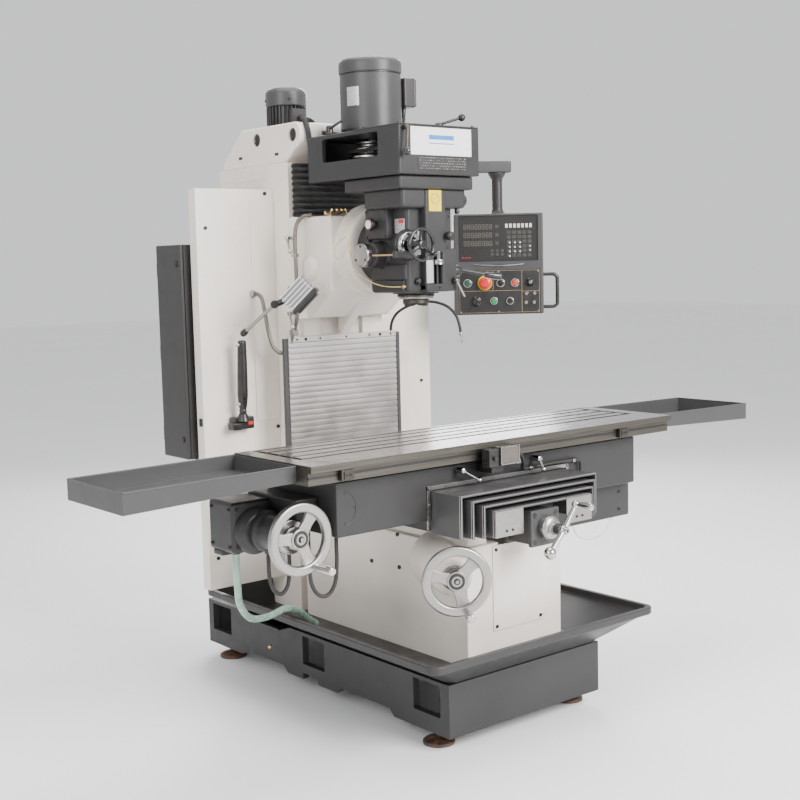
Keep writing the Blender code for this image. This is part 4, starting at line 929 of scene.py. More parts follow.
# ---------------------------------------------------------------- saddle and its drives
def make_saddle():
    finer("saddle", grey, 0.004)
    groove = Piece("saddle_round_cover", "saddle", black)
    arc = [(-0.624 + 0.052 * math.cos(math.radians(a)), 0.1098, 0.772 + 0.052 * math.sin(math.radians(a)))
           for a in range(-76, 77, 4)]
    groove.tube(arc, 0.0009, sides=8)
    for a in (-72, 0, 72):
        groove.socket_screw((-0.624 + 0.046 * math.cos(math.radians(a)), 0.11,
                             0.772 + 0.046 * math.sin(math.radians(a))), -Y, 0.003, 0.0012)
    for x, z in ((0.61, 0.654), (0.611, 0.592)):
        groove.socket_screw((x, 0.155, z), -Y, 0.005, 0.003)
    groove.done()
    seal = Piece("cover_seal_frame", "saddle", steel)
    for s in (-1, 1):
        seal.box((s * 0.3 - 0.006, 0.1045, 0.664), (s * 0.3 + 0.006, 0.11, 0.797), 0.0012)
    seal.box((-0.306, 0.1045, 0.7835), (0.306, 0.11, 0.7965), 0.0012)
    for s in (-1, 1):
        for z in (0.684, 0.74, 0.79):
            seal.socket_screw((s * 0.3, 0.1045, z), -Y, 0.0035, 0.0022)
    seal.done()
    wiper = Piece("way_wipers", "saddle", rubber)
    for s in (-1, 1):
        wiper.box((s * 0.15 - 0.052, 0.102, 0.6412), (s * 0.15 + 0.052, 0.1096, 0.66), 0.002)
        wiper.box((s * 0.15 - 0.052, 0.4704, 0.6412), (s * 0.15 + 0.052, 0.478, 0.69), 0.002)
    wiper.done()
    switch = Piece("limit_switch_mount", "saddle", black)
    switch.box((-0.136, 0.012, 0.842), (-0.094, 0.048, 0.898), 0.004)
    switch.box((-0.102, 0.04, 0.818), (-0.05, 0.109, 0.846), 0.003)
    switch.rod((-0.115, 0.008, 0.87), 0.007, 0.01, Y, steps=24)
    switch.done()
    lens = Piece("limit_switch_cover", "saddle", plastic("smoked cover", (0.1, 0.085, 0.075), 0.16, 120.0,
                                                         0.02))
    lens.box((-0.093, 0.006, 0.848), (-0.016, 0.046, 0.9), 0.004)
    lens.done()
    inside = Piece("limit_switch_frame", "saddle", steel)
    for x in (-0.094, -0.018):
        inside.box((x, 0.0045, 0.846), (x + 0.003, 0.0475, 0.902), 0.001)
    inside.box((-0.094, 0.0045, 0.8465), (-0.015, 0.0475, 0.85), 0.001)
    inside.done()
    cable = Piece("limit_switch_cable", "saddle", rubber)
    cable.tube(((-0.012, 0.026, 0.874), (0.01, 0.028, 0.868), (0.04, 0.048, 0.838), (0.07, 0.08, 0.812),
                (0.11, 0.096, 0.804), (0.2, 0.097, 0.806), (0.318, 0.097, 0.806), (0.35, 0.097, 0.8),
                (0.356, 0.097, 0.78), (0.356, 0.097, 0.74), (0.356, 0.102, 0.712), (0.356, 0.114, 0.7)),
                0.0058,
               step=0.008, sides=14)
    cable.done()
    clips = Piece("limit_switch_clips", "saddle", steel)
    for x, z in ((0.318, 0.806), (0.12, 0.804)):
        clips.rod((x, 0.097, z), 0.0085, 0.012, X, steps=24)
        clips.box((x - 0.005, 0.097, z - 0.006), (x + 0.005, 0.1098, z + 0.006), 0.001)
    clips.box((0.068, 0.102, 0.822), (0.094, 0.1098, 0.842), 0.001)
    clips.done()
    wire = Piece("sensor_wire", "saddle", cream)
    wire.tube(((0.385, 0.162, 0.57), (0.385, 0.16, 0.555), (0.405, 0.158, 0.528), (0.445, 0.158, 0.51),
               (0.5, 0.158, 0.508), (0.545, 0.158, 0.528), (0.575, 0.158, 0.56), (0.585, 0.16, 0.574)),
               0.0016,
              step=0.008, sides=8)
    wire.done()
    ends = Piece("cross_screw_ends", "saddle", black)
    ends.box((0.64, 0.2, 0.742), (0.672, 0.41, 0.846), 0.006)
    ends.box((0.65, 0.165, 0.568), (0.676, 0.46, 0.72), 0.005)
    ends.rod((0.715, 0.28, 0.806), 0.011, 0.1, X, steps=24)
    ends.lathe((0.76, 0.28, 0.806), [(0, 0.012), (0.01, 0.012), (0.016, 0.004), (0.016, -0.01), (0, -0.01)],
               X, 24)
    ends.done()
    for node, x, s, reach in (("saddle_lock_left", -0.185, 1, 0.056), ("saddle_lock_right", 0.141, 1, 0.008)):
        lever = Piece(node + "_finish", node, chrome)
        z = 0.833
        lever.lathe((x, 0.0895, z), [(0, 0.02), (0.0045, 0.02), (0.0095, 0.018), (0.0105, 0.012),
                                     (0.0095, 0.004),
                                     (0.0085, -0.0195), (0, -0.0195)], -Y, 28, 0.001)
        end = (x + reach, 0.066, z - 0.034)
        lever.tube([(x, 0.076, z), (x + reach / 2, 0.071, z - 0.017), end], 0.0052, step=0.006, sides=16,
                   ends=0.0042)
        lever.ball(end, 0.0088)
        lever.done(node)


def make_x_drive():
    box = Piece("x_gearbox_finish", "saddle", grey)
    box.box((-0.85, 0.33, 0.64), (-0.7, 0.465, 0.79), 0.012, 4)
    box.box((-0.72, 0.2, 0.735), (-0.6404, 0.455, 0.8), 0.006, 3)
    centre = Vector((-0.752, 0.255, 0.702))
    box.lathe(centre, [(0, 0.079), (0.04, 0.079), (0.046, 0.074), (0.047, 0.04), (0.051, 0.036),
                       (0.052, -0.02),
                       (0.06, -0.03), (0.064, -0.078), (0, -0.078)], -Y, 72, 0.003)
    box.lathe(Vector((-0.775, 0.33, 0.702)), [(0, 0.03), (0.052, 0.03), (0.066, 0.016), (0.072, 0.0),
                                              (0, 0.0)], -Y,
              72, 0.005)
    box.box((-0.846, 0.4, 0.625), (-0.78, 0.45, 0.642), 0.004)
    box.done("x_gearbox")
    dial = Piece("x_dial", "saddle", steel)
    dial.lathe(Vector((-0.752, 0.19, 0.702)), [(0.03, 0.016), (0.048, 0.016), (0.051, 0.012), (0.051, -0.008),
               (0.03, -0.008)], -Y, 72)
    dial.done()
    ticks = Piece("x_dial_marks", "saddle", black)
    for i in range(50):
        angle = 2 * math.pi * i / 50
        place = Matrix.Translation((-0.752, 0.183, 0.702)) @ Matrix.Rotation(angle, 4, "Y") @ \
            Matrix.Translation((0.0511, 0, 0))
        ticks.block(place, (0.0004, 0.007 if i % 5 else 0.013, 0.0008), 0)
    for s in (-1, 1):
        for z in (0.66, 0.772):
            ticks.socket_screw((-0.775 + s * 0.06, 0.33, z), -Y, 0.005, 0.004)
    for z in (0.66, 0.77):
        for y in (0.35, 0.446):
            ticks.socket_screw((-0.85, y, z), -X, 0.005, 0.004)
    ticks.done()
    glands = Piece("gearbox_glands", "saddle", black)
    for x, y, z, low in ((-0.752, 0.3, 0.6495, 0.018), (-0.666, 0.32, 0.735, 0.018),
                         (-0.65, 0.24, 0.735, 0.018),
                         (-0.562, 0.224, 0.69, 0.018)):
        glands.lathe((x, y, z), [(0.0062, 0.0), (0.0062, low), (0.0095, low - 0.002), (0.0115, low * 0.45),
                                 (0.0115, 0.0)], -Z, 20, 0.0006)
    glands.lathe((-0.8, 0.4, 0.64), [(0.0112, 0.0), (0.0112, 0.016), (0.015, 0.014), (0.015, 0.0)], -Z, 24)
    glands.done()


def handwheel(name, body, centre, axis, grip_angle, node, look, dark_look):
    """Polished wheel: flat dished rim, three broad spokes, stepped hub and a turned grip."""
    centre, axis = Vector(centre), Vector(axis).normalized()
    turn = axis.to_track_quat("Z", "Y").to_matrix().to_4x4()
    wheel = Piece(name, body, look)
    wheel.lathe(centre, [(0.0765, 0.004), (0.0785, 0.009), (0.082, 0.0108), (0.099, 0.0112), (0.103, 0.0095),
                         (0.105, 0.005), (0.105, -0.005), (0.103, -0.0095), (0.099, -0.0112),
                         (0.082, -0.0108),
                         (0.0785, -0.009), (0.0765, -0.004)], axis, 96, 0.0015)
    wheel.lathe(centre, [(0, 0.003), (0.021, 0.003), (0.029, 0.002), (0.033, -0.008), (0.033, -0.02),
                         (0.028, -0.038), (0, -0.038)], axis, 64)
    for i in range(3):
        angle = math.radians(grip_angle + 120 * i)
        out = turn @ Vector((math.cos(angle), math.sin(angle), 0))
        across = axis.cross(out).normalized()
        outline = []
        count = 8
        for k in range(count + 1):
            t = k / count
            outline.append((0.024 + 0.06 * t, 0.02 - 0.005 * math.sin(math.pi * t) + 0.004 * t))
        outline += [(u, -v) for u, v in reversed(outline)]
        place = Matrix((out, across, out.cross(across))).transposed().to_4x4()
        place = Matrix.Translation(centre - axis * 0.007) @ place
        wheel.plate(outline, 0.0115, place, 0.0032, 3)
    wheel.done(node)
    grip = Piece(name + "_grip", body, chrome)
    angle = math.radians(grip_angle)
    seat = centre + turn @ Vector((0.091 * math.cos(angle), 0.091 * math.sin(angle), 0.0))
    grip.lathe(seat, [(0, 0.098), (0.01, 0.098), (0.0125, 0.096), (0.013, 0.092), (0.0128, 0.07),
                      (0.0112, 0.038), (0.01, 0.026), (0.01, 0.01), (0, 0.01)], axis, 40, 0.001)
    grip.done()
    core = Piece(name + "_hub", body, dark_look)
    core.lathe(centre, [(0.0165, 0.006), (0.023, 0.006), (0.0245, 0.004), (0.0245, 0.0028), (0.0165, 0.0028)],
               axis, 48, 0.0006)
    core.lathe(centre, [(0, 0.0045), (0.008, 0.0045), (0.0095, 0.003), (0.0095, 0.0028), (0, 0.0028)], axis,
               32, 0.0004)
    core.done()
    nut = Piece(name + "_nut", body, steel)
    nut.lathe(centre, [(0.01, 0.0028), (0.01, 0.0052), (0.016, 0.0052), (0.016, 0.0028)], axis, 40, 0.0004)
    nut.hex_nut(centre + axis * 0.0075, axis, 0.0062, 0.006)
    nut.done()


def make_covers():
    rows = (("y_cover_1", "saddle", 0.29, 0.78, 0.1096, -0.03), ("y_cover_2", "cover_2", 0.262, 0.764, 0.098,
                                                                -0.05),
            ("y_cover_3", "cover_3", 0.234, 0.748, 0.088, -0.068), ("y_cover_4", "machine", 0.206, 0.732,
                                                                0.078, -0.083))
    for node, body, half, top, rear, lead in rows:
        low, sheet = 0.6515, 0.005
        shell = Piece(node + "_finish", body, grey_light)
        ring = [(-half, low), (-half, top), (half, top), (half, low), (half - sheet, low),
                (half - sheet, top - sheet),
                (sheet - half, top - sheet), (sheet - half, low)]
        shell.plate(ring, rear - lead, front((rear + lead) / 2), 0.0008, 1)
        shell.done(node)
        lips = Piece(node + "_lips", body, lip_steel)
        for y, inset in ((lead + 0.0016, 0.0), (lead + 0.009, 0.0)):
            h, t = half + 0.0009 - inset, top + 0.0009 - inset
            ring = [(-h, low), (-h, t), (h, t), (h, low), (h - 0.004, low), (h - 0.004, t - 0.004),
                    (0.004 - h, t - 0.004), (0.004 - h, low)]
            lips.plate(ring, 0.0026, front(y), 0.0006, 1)
        lips.done()
        seal = Piece(node + "_seal", body, rubber)
        h, t = half + 0.0005, top + 0.0005
        ring = [(-h, low), (-h, t), (h, t), (h, low), (h - 0.003, low), (h - 0.003, t - 0.003),
                (0.003 - h, t - 0.003),
                (0.003 - h, low)]
        seal.plate(ring, 0.004, front(lead + 0.0052), 0, 1)
        seal.done()
    plates = Piece("cover_end_plates", "machine", steel)
    for s in (-1, 1):
        plates.box((s * 0.15 - 0.0565, -0.0868, 0.652), (s * 0.15 + 0.0565, -0.0834, 0.731), 0.001)
    plates.done()
    heads = Piece("cover_end_screws", "machine", black)
    for s in (-1, 1):
        for x in (0.138, 0.163):
            heads.socket_screw((s * x, -0.0868, 0.669), -Y, 0.0042, 0.0018)
    heads.done()
    bracket = Piece("y_screw_bracket_finish", "machine", grey_light)
    bracket.box((-0.06, -0.0862, 0.6), (0.06, -0.07, 0.712), 0.004, 3)
    bracket.box((-0.054, -0.072, 0.606), (0.054, 0.044, 0.706), 0.004)
    bracket.box((-0.06, 0.02, 0.596), (0.06, 0.0472, 0.645), 0.006)
    bracket.done("y_screw_bracket")
    bolts = Piece("bracket_bolts", "machine", black)
    for x in (-0.045, 0.045):
        for z in (0.615, 0.697):
            bolts.socket_screw((x, -0.0862, z), -Y, 0.0085, 0.001)
    bolts.done()


def make_crank():
    centre = Vector((0.0, -0.125, 0.657))
    dial = Piece("y_crank_finish", "crank", alloy)
    dial.lathe(centre, [(0, -0.004), (0.024, -0.004), (0.033, -0.008), (0.0375, -0.014), (0.0375, -0.026),
                        (0.033, -0.03), (0.033, -0.038), (0, -0.038)], -Y, 64)
    dial.lathe(centre, [(0, 0.022), (0.015, 0.022), (0.0165, 0.018), (0.0165, 0.0), (0.022, -0.006),
                        (0, -0.006)], -Y, 40)
    dial.done("y_crank")
    black_ring = Piece("y_crank_collar", "crank", black)
    black_ring.lathe(centre, [(0, 0.03), (0.0135, 0.03), (0.015, 0.026), (0.0175, 0.012), (0.0175, 0.008),
                              (0.01, 0.008), (0, 0.008)], -Y, 40)
    for i in range(40):
        angle = 2 * math.pi * i / 40
        place = Matrix.Translation(centre + Vector((0, 0.02, 0))) @ Matrix.Rotation(angle, 4, "Y") @ \
            Matrix.Translation((0.0376, 0, 0))
        black_ring.block(place, (0.0004, 0.005 if i % 5 else 0.009, 0.0007), 0)
    black_ring.done()
    arm = Piece("y_crank_arm", "crank", chrome)
    plane = centre + Vector((0, -0.036, 0))
    ball_end = plane + Vector((-0.06, -0.002, -0.06))
    grip_end = plane + Vector((0.052, -0.002, 0.072))
    arm.tube([ball_end, plane], 0.0072, sides=24, ends=0.0105)
    arm.tube([plane, grip_end], 0.0105, sides=24, ends=0.0072)
    arm.ball(plane, 0.0155, 32)
    arm.ball(ball_end, 0.019, 36)
    arm.ball(grip_end, 0.0125, 32)
    arm.rod(plane + Vector((0, -0.012, 0)), 0.0095, 0.01, -Y, steps=28)
    arm.done()
    grip = Piece("y_crank_grip", "crank", chrome)
    grip.lathe(grip_end, [(0, 0.068), (0.007, 0.068), (0.0115, 0.064), (0.012, 0.052), (0.01, 0.026),
                          (0.008, 0.014),
                          (0, 0.012)], -Y, 40, 0.001)
    grip.done()
    socket = Piece("y_crank_socket", "crank", black)
    socket.hex_nut(plane + Vector((0, -0.0172, 0)), -Y, 0.0055, 0.001)
    socket.done()


def make_table():
    finer("table", table_look, 0.0008, 2)
    finer("coolant_tray_left", grey_light, 0.001, 2)
    finer("coolant_tray_right", grey_light, 0.001, 2)
    dogs = Piece("stop_dogs", "table", dull_steel)
    for x in (-0.64, 0.52):
        dogs.box((x - 0.022, 0.05, 0.865), (x + 0.022, 0.0655, 0.8955), 0.0015)
        dogs.box((x - 0.014, 0.047, 0.868), (x + 0.014, 0.051, 0.8925), 0.0015)
    dogs.done()
    heads = Piece("stop_dog_screws", "table", black)
    for x in (-0.64, 0.52):
        for k in (-0.007, 0.007):
            heads.socket_screw((x + k, 0.047, 0.88), -Y, 0.004, 0.0022)
    heads.done()
    channel = Piece("dog_channel", "table", black)
    channel.box((-0.764, 0.0655, 0.879), (0.764, 0.0665, 0.885), 0.0003)
    channel.done()
    lips = Piece("tray_rims", "table", grey_light)
    for s in (-1, 1):
        outer, inner = s * 1.2945, s * 0.768
        for y in (0.1206, 0.4414):
            lips.tube([(inner, y, 0.9118), (outer, y, 0.9058)], 0.0022, sides=12)
        lips.tube([(outer, 0.1206, 0.9058), (outer, 0.4414, 0.9058)], 0.0022, sides=12)
    lips.done()
    brackets = Piece("tray_brackets", "table", dull_steel)
    for s in (-1, 1):
        for y in (0.17, 0.392):
            low, high = sorted((s * 0.7, s * 0.83))
            brackets.box((low, y - 0.012, 0.856), (high, y + 0.012, 0.86), 0.001)
    brackets.done()


# ---------------------------------------------------------------- carriage
def make_carriage():
    body = Piece("carriage_finish", "carriage", white_cast)
    outline = [(0.9245, 1.281), (0.9245, 1.6315), (0.741, 1.6315), (0.741, 1.376), (0.866, 1.281)]
    body.plate(outline, 0.349, side(0), 0.01, 3)
    body.box((-0.2145, 0.885, 1.2805), (0.2145, 0.9248, 1.6315), 0.003)
    rib = [(0.924, 1.228), (0.924, 1.3), (0.77, 1.395), (0.755, 1.372), (0.9, 1.228)]
    body.plate(rib, 0.038, side(0), 0.005, 3)
    body.lathe((0, 0.712, 1.511), [(0, 0.0398), (0.13, 0.0398), (0.144, 0.037), (0.15, 0.029), (0.15, -0.01),
                                   (0.153, -0.02), (0.16, -0.027), (0.16, -0.04), (0, -0.04)], -Y, 112, 0.004)
    body.lathe((-0.1745, 0.862, 1.452), [(0, 0.018), (0.026, 0.0172), (0.036, 0.0135), (0.042, 0.006),
                                         (0.047, -0.004),
                                         (0, -0.004)], -X, 72, 0.003)
    body.done("carriage")
    for node, z in (("carriage_lock_upper", 1.56), ("carriage_lock_lower", 1.3)):
        lever = Piece(node + "_finish", node, chrome)
        lever.lathe((-0.23, 0.905, z), [(0, 0.015), (0.007, 0.015), (0.0085, 0.012), (0.008, 0.0),
                                        (0.006, -0.0135),
                                         (0, -0.0135)], -X, 28, 0.001)
        end = (-0.246, 0.88, z - 0.045)
        lever.tube([(-0.238, 0.905, z), (-0.242, 0.895, z - 0.022), end], 0.0052, step=0.006, sides=16,
                   ends=0.004)
        lever.ball(end, 0.0085)
        lever.done(node)
    manifold = Piece("lube_manifold", "carriage", steel)
    manifold.box((-0.168, 0.742, 1.631), (-0.086, 0.76, 1.647), 0.002)
    manifold.done()
    nuts = Piece("lube_fittings", "carriage", brass)
    for x in (-0.155, -0.135, -0.115, -0.098):
        nuts.hex_nut((x, 0.751, 1.65), Z, 0.0065, 0.007)
    nuts.rod((-0.177, 0.751, 1.64), 0.006, 0.018, X, steps=20)
    nuts.rod((-0.166, 0.745, 1.625), 0.004, 0.012, Z, steps=16)
    nuts.done()
    conduit = Piece("carriage_conduit", "carriage", braid)
    conduit.tube(((-0.166, 0.862, 1.636), (-0.19, 0.872, 1.634), (-0.214, 0.882, 1.605), (-0.224, 0.88, 1.55),
                  (-0.226, 0.876, 1.47), (-0.226, 0.876, 1.36), (-0.225, 0.88, 1.29), (-0.225, 0.9, 1.236)),
                 0.0062, sides=12, ribs=0.0008, pitch=0.005)
    conduit.done()
    clamps = Piece("conduit_clamps", "carriage", steel)
    clamps.rod((-0.162, 0.862, 1.636), 0.009, 0.016, X, steps=24)
    clamps.box((-0.156, 0.852, 1.6312), (-0.12, 0.872, 1.642), 0.002)
    for z in (1.5, 1.33):
        clamps.box((-0.237, 0.872, z - 0.006), (-0.214, 0.8848, z + 0.006), 0.0015)
    clamps.box((-0.234, 0.892, 1.222), (-0.212, 0.918, 1.244), 0.002)
    clamps.done()
    loop = Piece("hanging_conduit", "machine", braid)
    loop.tube(((-0.297, 1.044, 1.369), (-0.297, 1.02, 1.37), (-0.294, 0.995, 1.355), (-0.293, 0.98, 1.31),
               (-0.292, 0.965, 1.25), (-0.284, 0.955, 1.195), (-0.268, 0.945, 1.168), (-0.25, 0.935, 1.162),
               (-0.234, 0.928, 1.175), (-0.227, 0.92, 1.2), (-0.224, 0.91, 1.23)), 0.0062, sides=12,
               ribs=0.0008,
              pitch=0.005)
    obj = loop.done(angle=60.0, keep_free=True)
    obj.modifiers.clear()
    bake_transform(obj)
    wall = Piece("conduit_wall_fitting", "machine", steel)
    wall.lathe((-0.297, 1.045, 1.369), [(0, 0.016), (0.0085, 0.016), (0.0105, 0.01), (0.015, 0.003),
                                        (0.015, 0),
                                          (0, 0)], -Y, 24)
    wall.done()


# ---------------------------------------------------------------- head
def make_head():
    casting = Piece("head_casting_finish", "head", grey_cast)
    casting.box((-0.0975, 0.425, 1.367), (0.0975, 0.6245, 1.65), 0.012, 4)
    casting.box((-0.1375, 0.3985, 1.64), (0.1375, 0.6, 1.706), 0.012, 4)
    casting.box((-0.1575, 0.3825, 1.7), (0.1575, 0.6795, 1.7434), 0.008, 3)
    casting.box((-0.044, 0.393, 1.495), (0.044, 0.44, 1.7), 0.007, 3)
    casting.box((0.023, 0.393, 1.373), (0.088, 0.44, 1.51), 0.009, 3)
    casting.box((-0.044, 0.398, 1.373), (-0.006, 0.44, 1.5), 0.005, 3)
    casting.box((-0.044, 0.3935, 1.369), (0.088, 0.44, 1.396), 0.006, 3)
    casting.lathe((0, 0.64, 1.511), [(0, 0.029), (0.1, 0.029), (0.112, 0.023), (0.1175, 0.012),
                                     (0.1175, -0.029),
                                      (0, -0.029)], -Y, 96, 0.003)
    casting.lathe((0, 0.505, 1.3724), [(0.053, 0.01), (0.08, 0.01), (0.08, -0.002), (0.076, -0.0098),
                                       (0.053, -0.0098)], Z, 72, 0.002)
    casting.lathe((-0.09, 0.56, 1.493), [(0, 0.06), (0.04, 0.06), (0.042, 0.056), (0.042, 0.018),
                                            (0.048, 0.006), (0.052, 0.0), (0, 0.0)], -X, 72, 0.002)
    casting.box((-0.125, 0.495, 1.545), (-0.09, 0.61, 1.642), 0.004, 3)
    casting.box((-0.106, 0.43, 1.41), (-0.09, 0.545, 1.462), 0.012, 4)
    casting.box((-0.104, 0.442, 1.369), (-0.09, 0.6, 1.41), 0.006, 3)
    casting.done("head_casting")
    slot = Piece("quill_stop_slot", "head", black)
    slot.box((-0.006, 0.41, 1.39), (0.023, 0.426, 1.498), 0.002)
    slot.rod((0.0085, 0.404, 1.44), 0.005, 0.1, Z, steps=24)
    slot.lathe((-0.1, 0.426, 1.522), [(0, 0.01), (0.044, 0.01), (0.05, 0.005), (0.052, 0), (0, 0)], -Y, 64)
    slot.done()
    stop = Piece("quill_stop_nuts", "head", chrome)
    stop.lathe((0.0085, 0.396, 1.464), [(0, 0.01), (0.016, 0.01), (0.017, 0.008), (0.017, -0.002),
                                          (0.019, -0.006), (0, -0.006)], Z, 40)
    stop.rod((0.0085, 0.396, 1.485), 0.007, 0.03, Z, steps=24)
    stop.lathe((-0.1, 0.416, 1.522), [(0.03, 0.012), (0.042, 0.012), (0.0455, 0.008), (0.0455, -0.002),
                                           (0.03, -0.002)], -Y, 64)
    stop.done()
    scale = Piece("quill_depth_scale", "head", plate_steel)
    scale.box((-0.042, 0.3955, 1.398), (-0.014, 0.3982, 1.472), 0.0006)
    scale.box((-0.056, 0.42, 1.49), (-0.044, 0.425, 1.57), 0.001)
    scale.done()
    label = Piece("head_label", "head", plate_steel)
    label.box((-0.0988, 0.437, 1.562), (-0.0974, 0.486, 1.608), 0.0004)
    label.done()
    band = Piece("head_label_band", "head", red)
    band.box((-0.0992, 0.44, 1.593), (-0.0986, 0.466, 1.606), 0.0002)
    band.done()
    sticker = Piece("guard_label", "head", plate_yellow)
    sticker.box((-0.03, 0.3918, 1.63), (0.023, 0.393, 1.6975), 0.0004)
    sticker.done()
    ring = Piece("guard_label_ring", "head", black)
    arc = [(-0.0035 + 0.017 * math.cos(math.radians(a)), 0.3917, 1.67 + 0.017 * math.sin(math.radians(a)))
           for a in range(0, 361, 12)]
    ring.tube(arc, 0.0007, sides=6)
    ring.tube([(-0.0155, 0.3917, 1.658), (0.0085, 0.3917, 1.682)], 0.0007, sides=6)
    ring.done()
    drum = Piece("spring_drum", "head", steel)
    drum.lathe((-0.15, 0.575, 1.493), [(0, 0.025), (0.034, 0.025), (0.0385, 0.0225), (0.039, 0.018),
                                           (0.039, 0.0), (0, 0.0)], -X, 72)
    drum.done()
    small = Piece("head_screws", "head", black)
    for y in (0.503, 0.602):
        for z in (1.553, 1.634):
            small.socket_screw((-0.125, y, z), -X, 0.0045, 0.0022)
    for a in (90, 210, 330):
        small.socket_screw((-0.175, 0.575 + 0.03 * math.cos(math.radians(a)),
                            1.493 + 0.03 * math.sin(math.radians(a))),
                           -X, 0.0042, 0.0016)
    for x, z in ((0.055, 1.612), (0.012, 1.382), (-0.078, 1.384), (0.075, 1.384)):
        small.socket_screw((x, 0.393 if abs(x) < 0.089 else 0.425, z), -Y, 0.0045, 0.002)
    small.lathe((0.111, 0.415, 1.64), [(0, 0.018), (0.006, 0.018), (0.009, 0.01), (0.008, 0), (0, 0)], -Z, 24)
    small.rod((0.045, 0.408, 1.55), 0.011, 0.04, Y, steps=32)
    small.lathe((0.045, 0.39, 1.55), [(0, 0.024), (0.009, 0.023), (0.014, 0.016), (0.015, 0.006),
                                           (0.012, -0.004), (0, -0.004)], -Y, 40)
    small.lathe((0.137, 0.43, 1.668), [(0, 0.02), (0.016, 0.019), (0.022, 0.012), (0.023, 0.004),
                                           (0.018, 0.0), (0, 0.0)], X, 48)
    small.lathe((0.098, 0.45, 1.55), [(0, 0.03), (0.011, 0.029), (0.015, 0.022), (0.015, 0.008),
                                           (0.01, 0.0), (0, 0.0)], X, 40)
    small.lathe((0.072, 0.4, 1.4035), [(0, 0.024), (0.008, 0.024), (0.0105, 0.018), (0.0115, 0.0), (0, 0.0)],
                -Y,
                28)
    small.lathe((-0.06, 0.425, 1.405), [(0, 0.016), (0.007, 0.016), (0.011, 0.01), (0.012, 0.0), (0, 0.0)],
                -Y,
                28)
    small.done()
    dial = Piece("speed_dial", "head", black)
    dial.lathe((-0.125, 0.557, 1.593), [(0, 0.028), (0.019, 0.028), (0.0205, 0.026), (0.0205, 0.015),
                                           (0.013, 0.012), (0.013, 0.0), (0, 0.0)], -X, 48)
    dial.done()
    face = Piece("speed_dial_face", "head", plate_white)
    face.lathe((-0.153, 0.557, 1.593), [(0, 0.001), (0.015, 0.001), (0.015, 0.0), (0, 0.0)], -X, 48, 0)
    face.done()
    hand = Piece("speed_dial_hand", "head", red)
    hand.box((-0.1546, 0.556, 1.593), (-0.154, 0.558, 1.605), 0.0003)
    hand.lathe((-0.154, 0.557, 1.593), [(0.014, 0.0004), (0.0152, 0.0004), (0.0152, 0.0), (0.014, 0.0)], -X,
               48, 0)
    hand.done()
    rod = Piece("feed_trip_rod", "head", brass)
    rod.rod((-0.164, 0.462, 1.4915), 0.0032, 0.12, Y, steps=20)
    rod.rod((-0.1, 0.442, 1.388), 0.006, 0.012, X, steps=20)
    rod.done()
    stub = Piece("feed_trip_bracket", "head", grey_cast)
    stub.box((-0.172, 0.396, 1.48), (-0.096, 0.414, 1.504), 0.005, 3)
    stub.done()
    lock = Piece("quill_lock_lever", "head", chrome)
    lock.rod((0.072, 0.38, 1.4035), 0.0062, 0.014, Y, steps=20)
    lock.tube([(0.072, 0.379, 1.4035), (0.085, 0.376, 1.38), (0.102, 0.374, 1.35)], 0.0034, sides=14)
    lock.done()
    lube = Piece("lube_line", "head", lube_tube)
    lube.tube(((-0.098, 0.751, 1.654), (-0.112, 0.73, 1.65), (-0.15, 0.675, 1.626), (-0.178, 0.635, 1.595),
               (-0.184, 0.62, 1.555), (-0.185, 0.652, 1.496), (-0.185, 0.69, 1.485), (-0.186, 0.704, 1.511),
               (-0.187, 0.678, 1.538), (-0.189, 0.627, 1.555), (-0.18, 0.626, 1.515), (-0.158, 0.635, 1.456),
               (-0.134, 0.61, 1.418), (-0.116, 0.56, 1.395), (-0.108, 0.505, 1.388), (-0.106, 0.45, 1.388)),
              0.0019, step=0.006, sides=8)
    obj = lube.done(angle=60.0, keep_free=True)
    obj.modifiers.clear()
    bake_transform(obj)


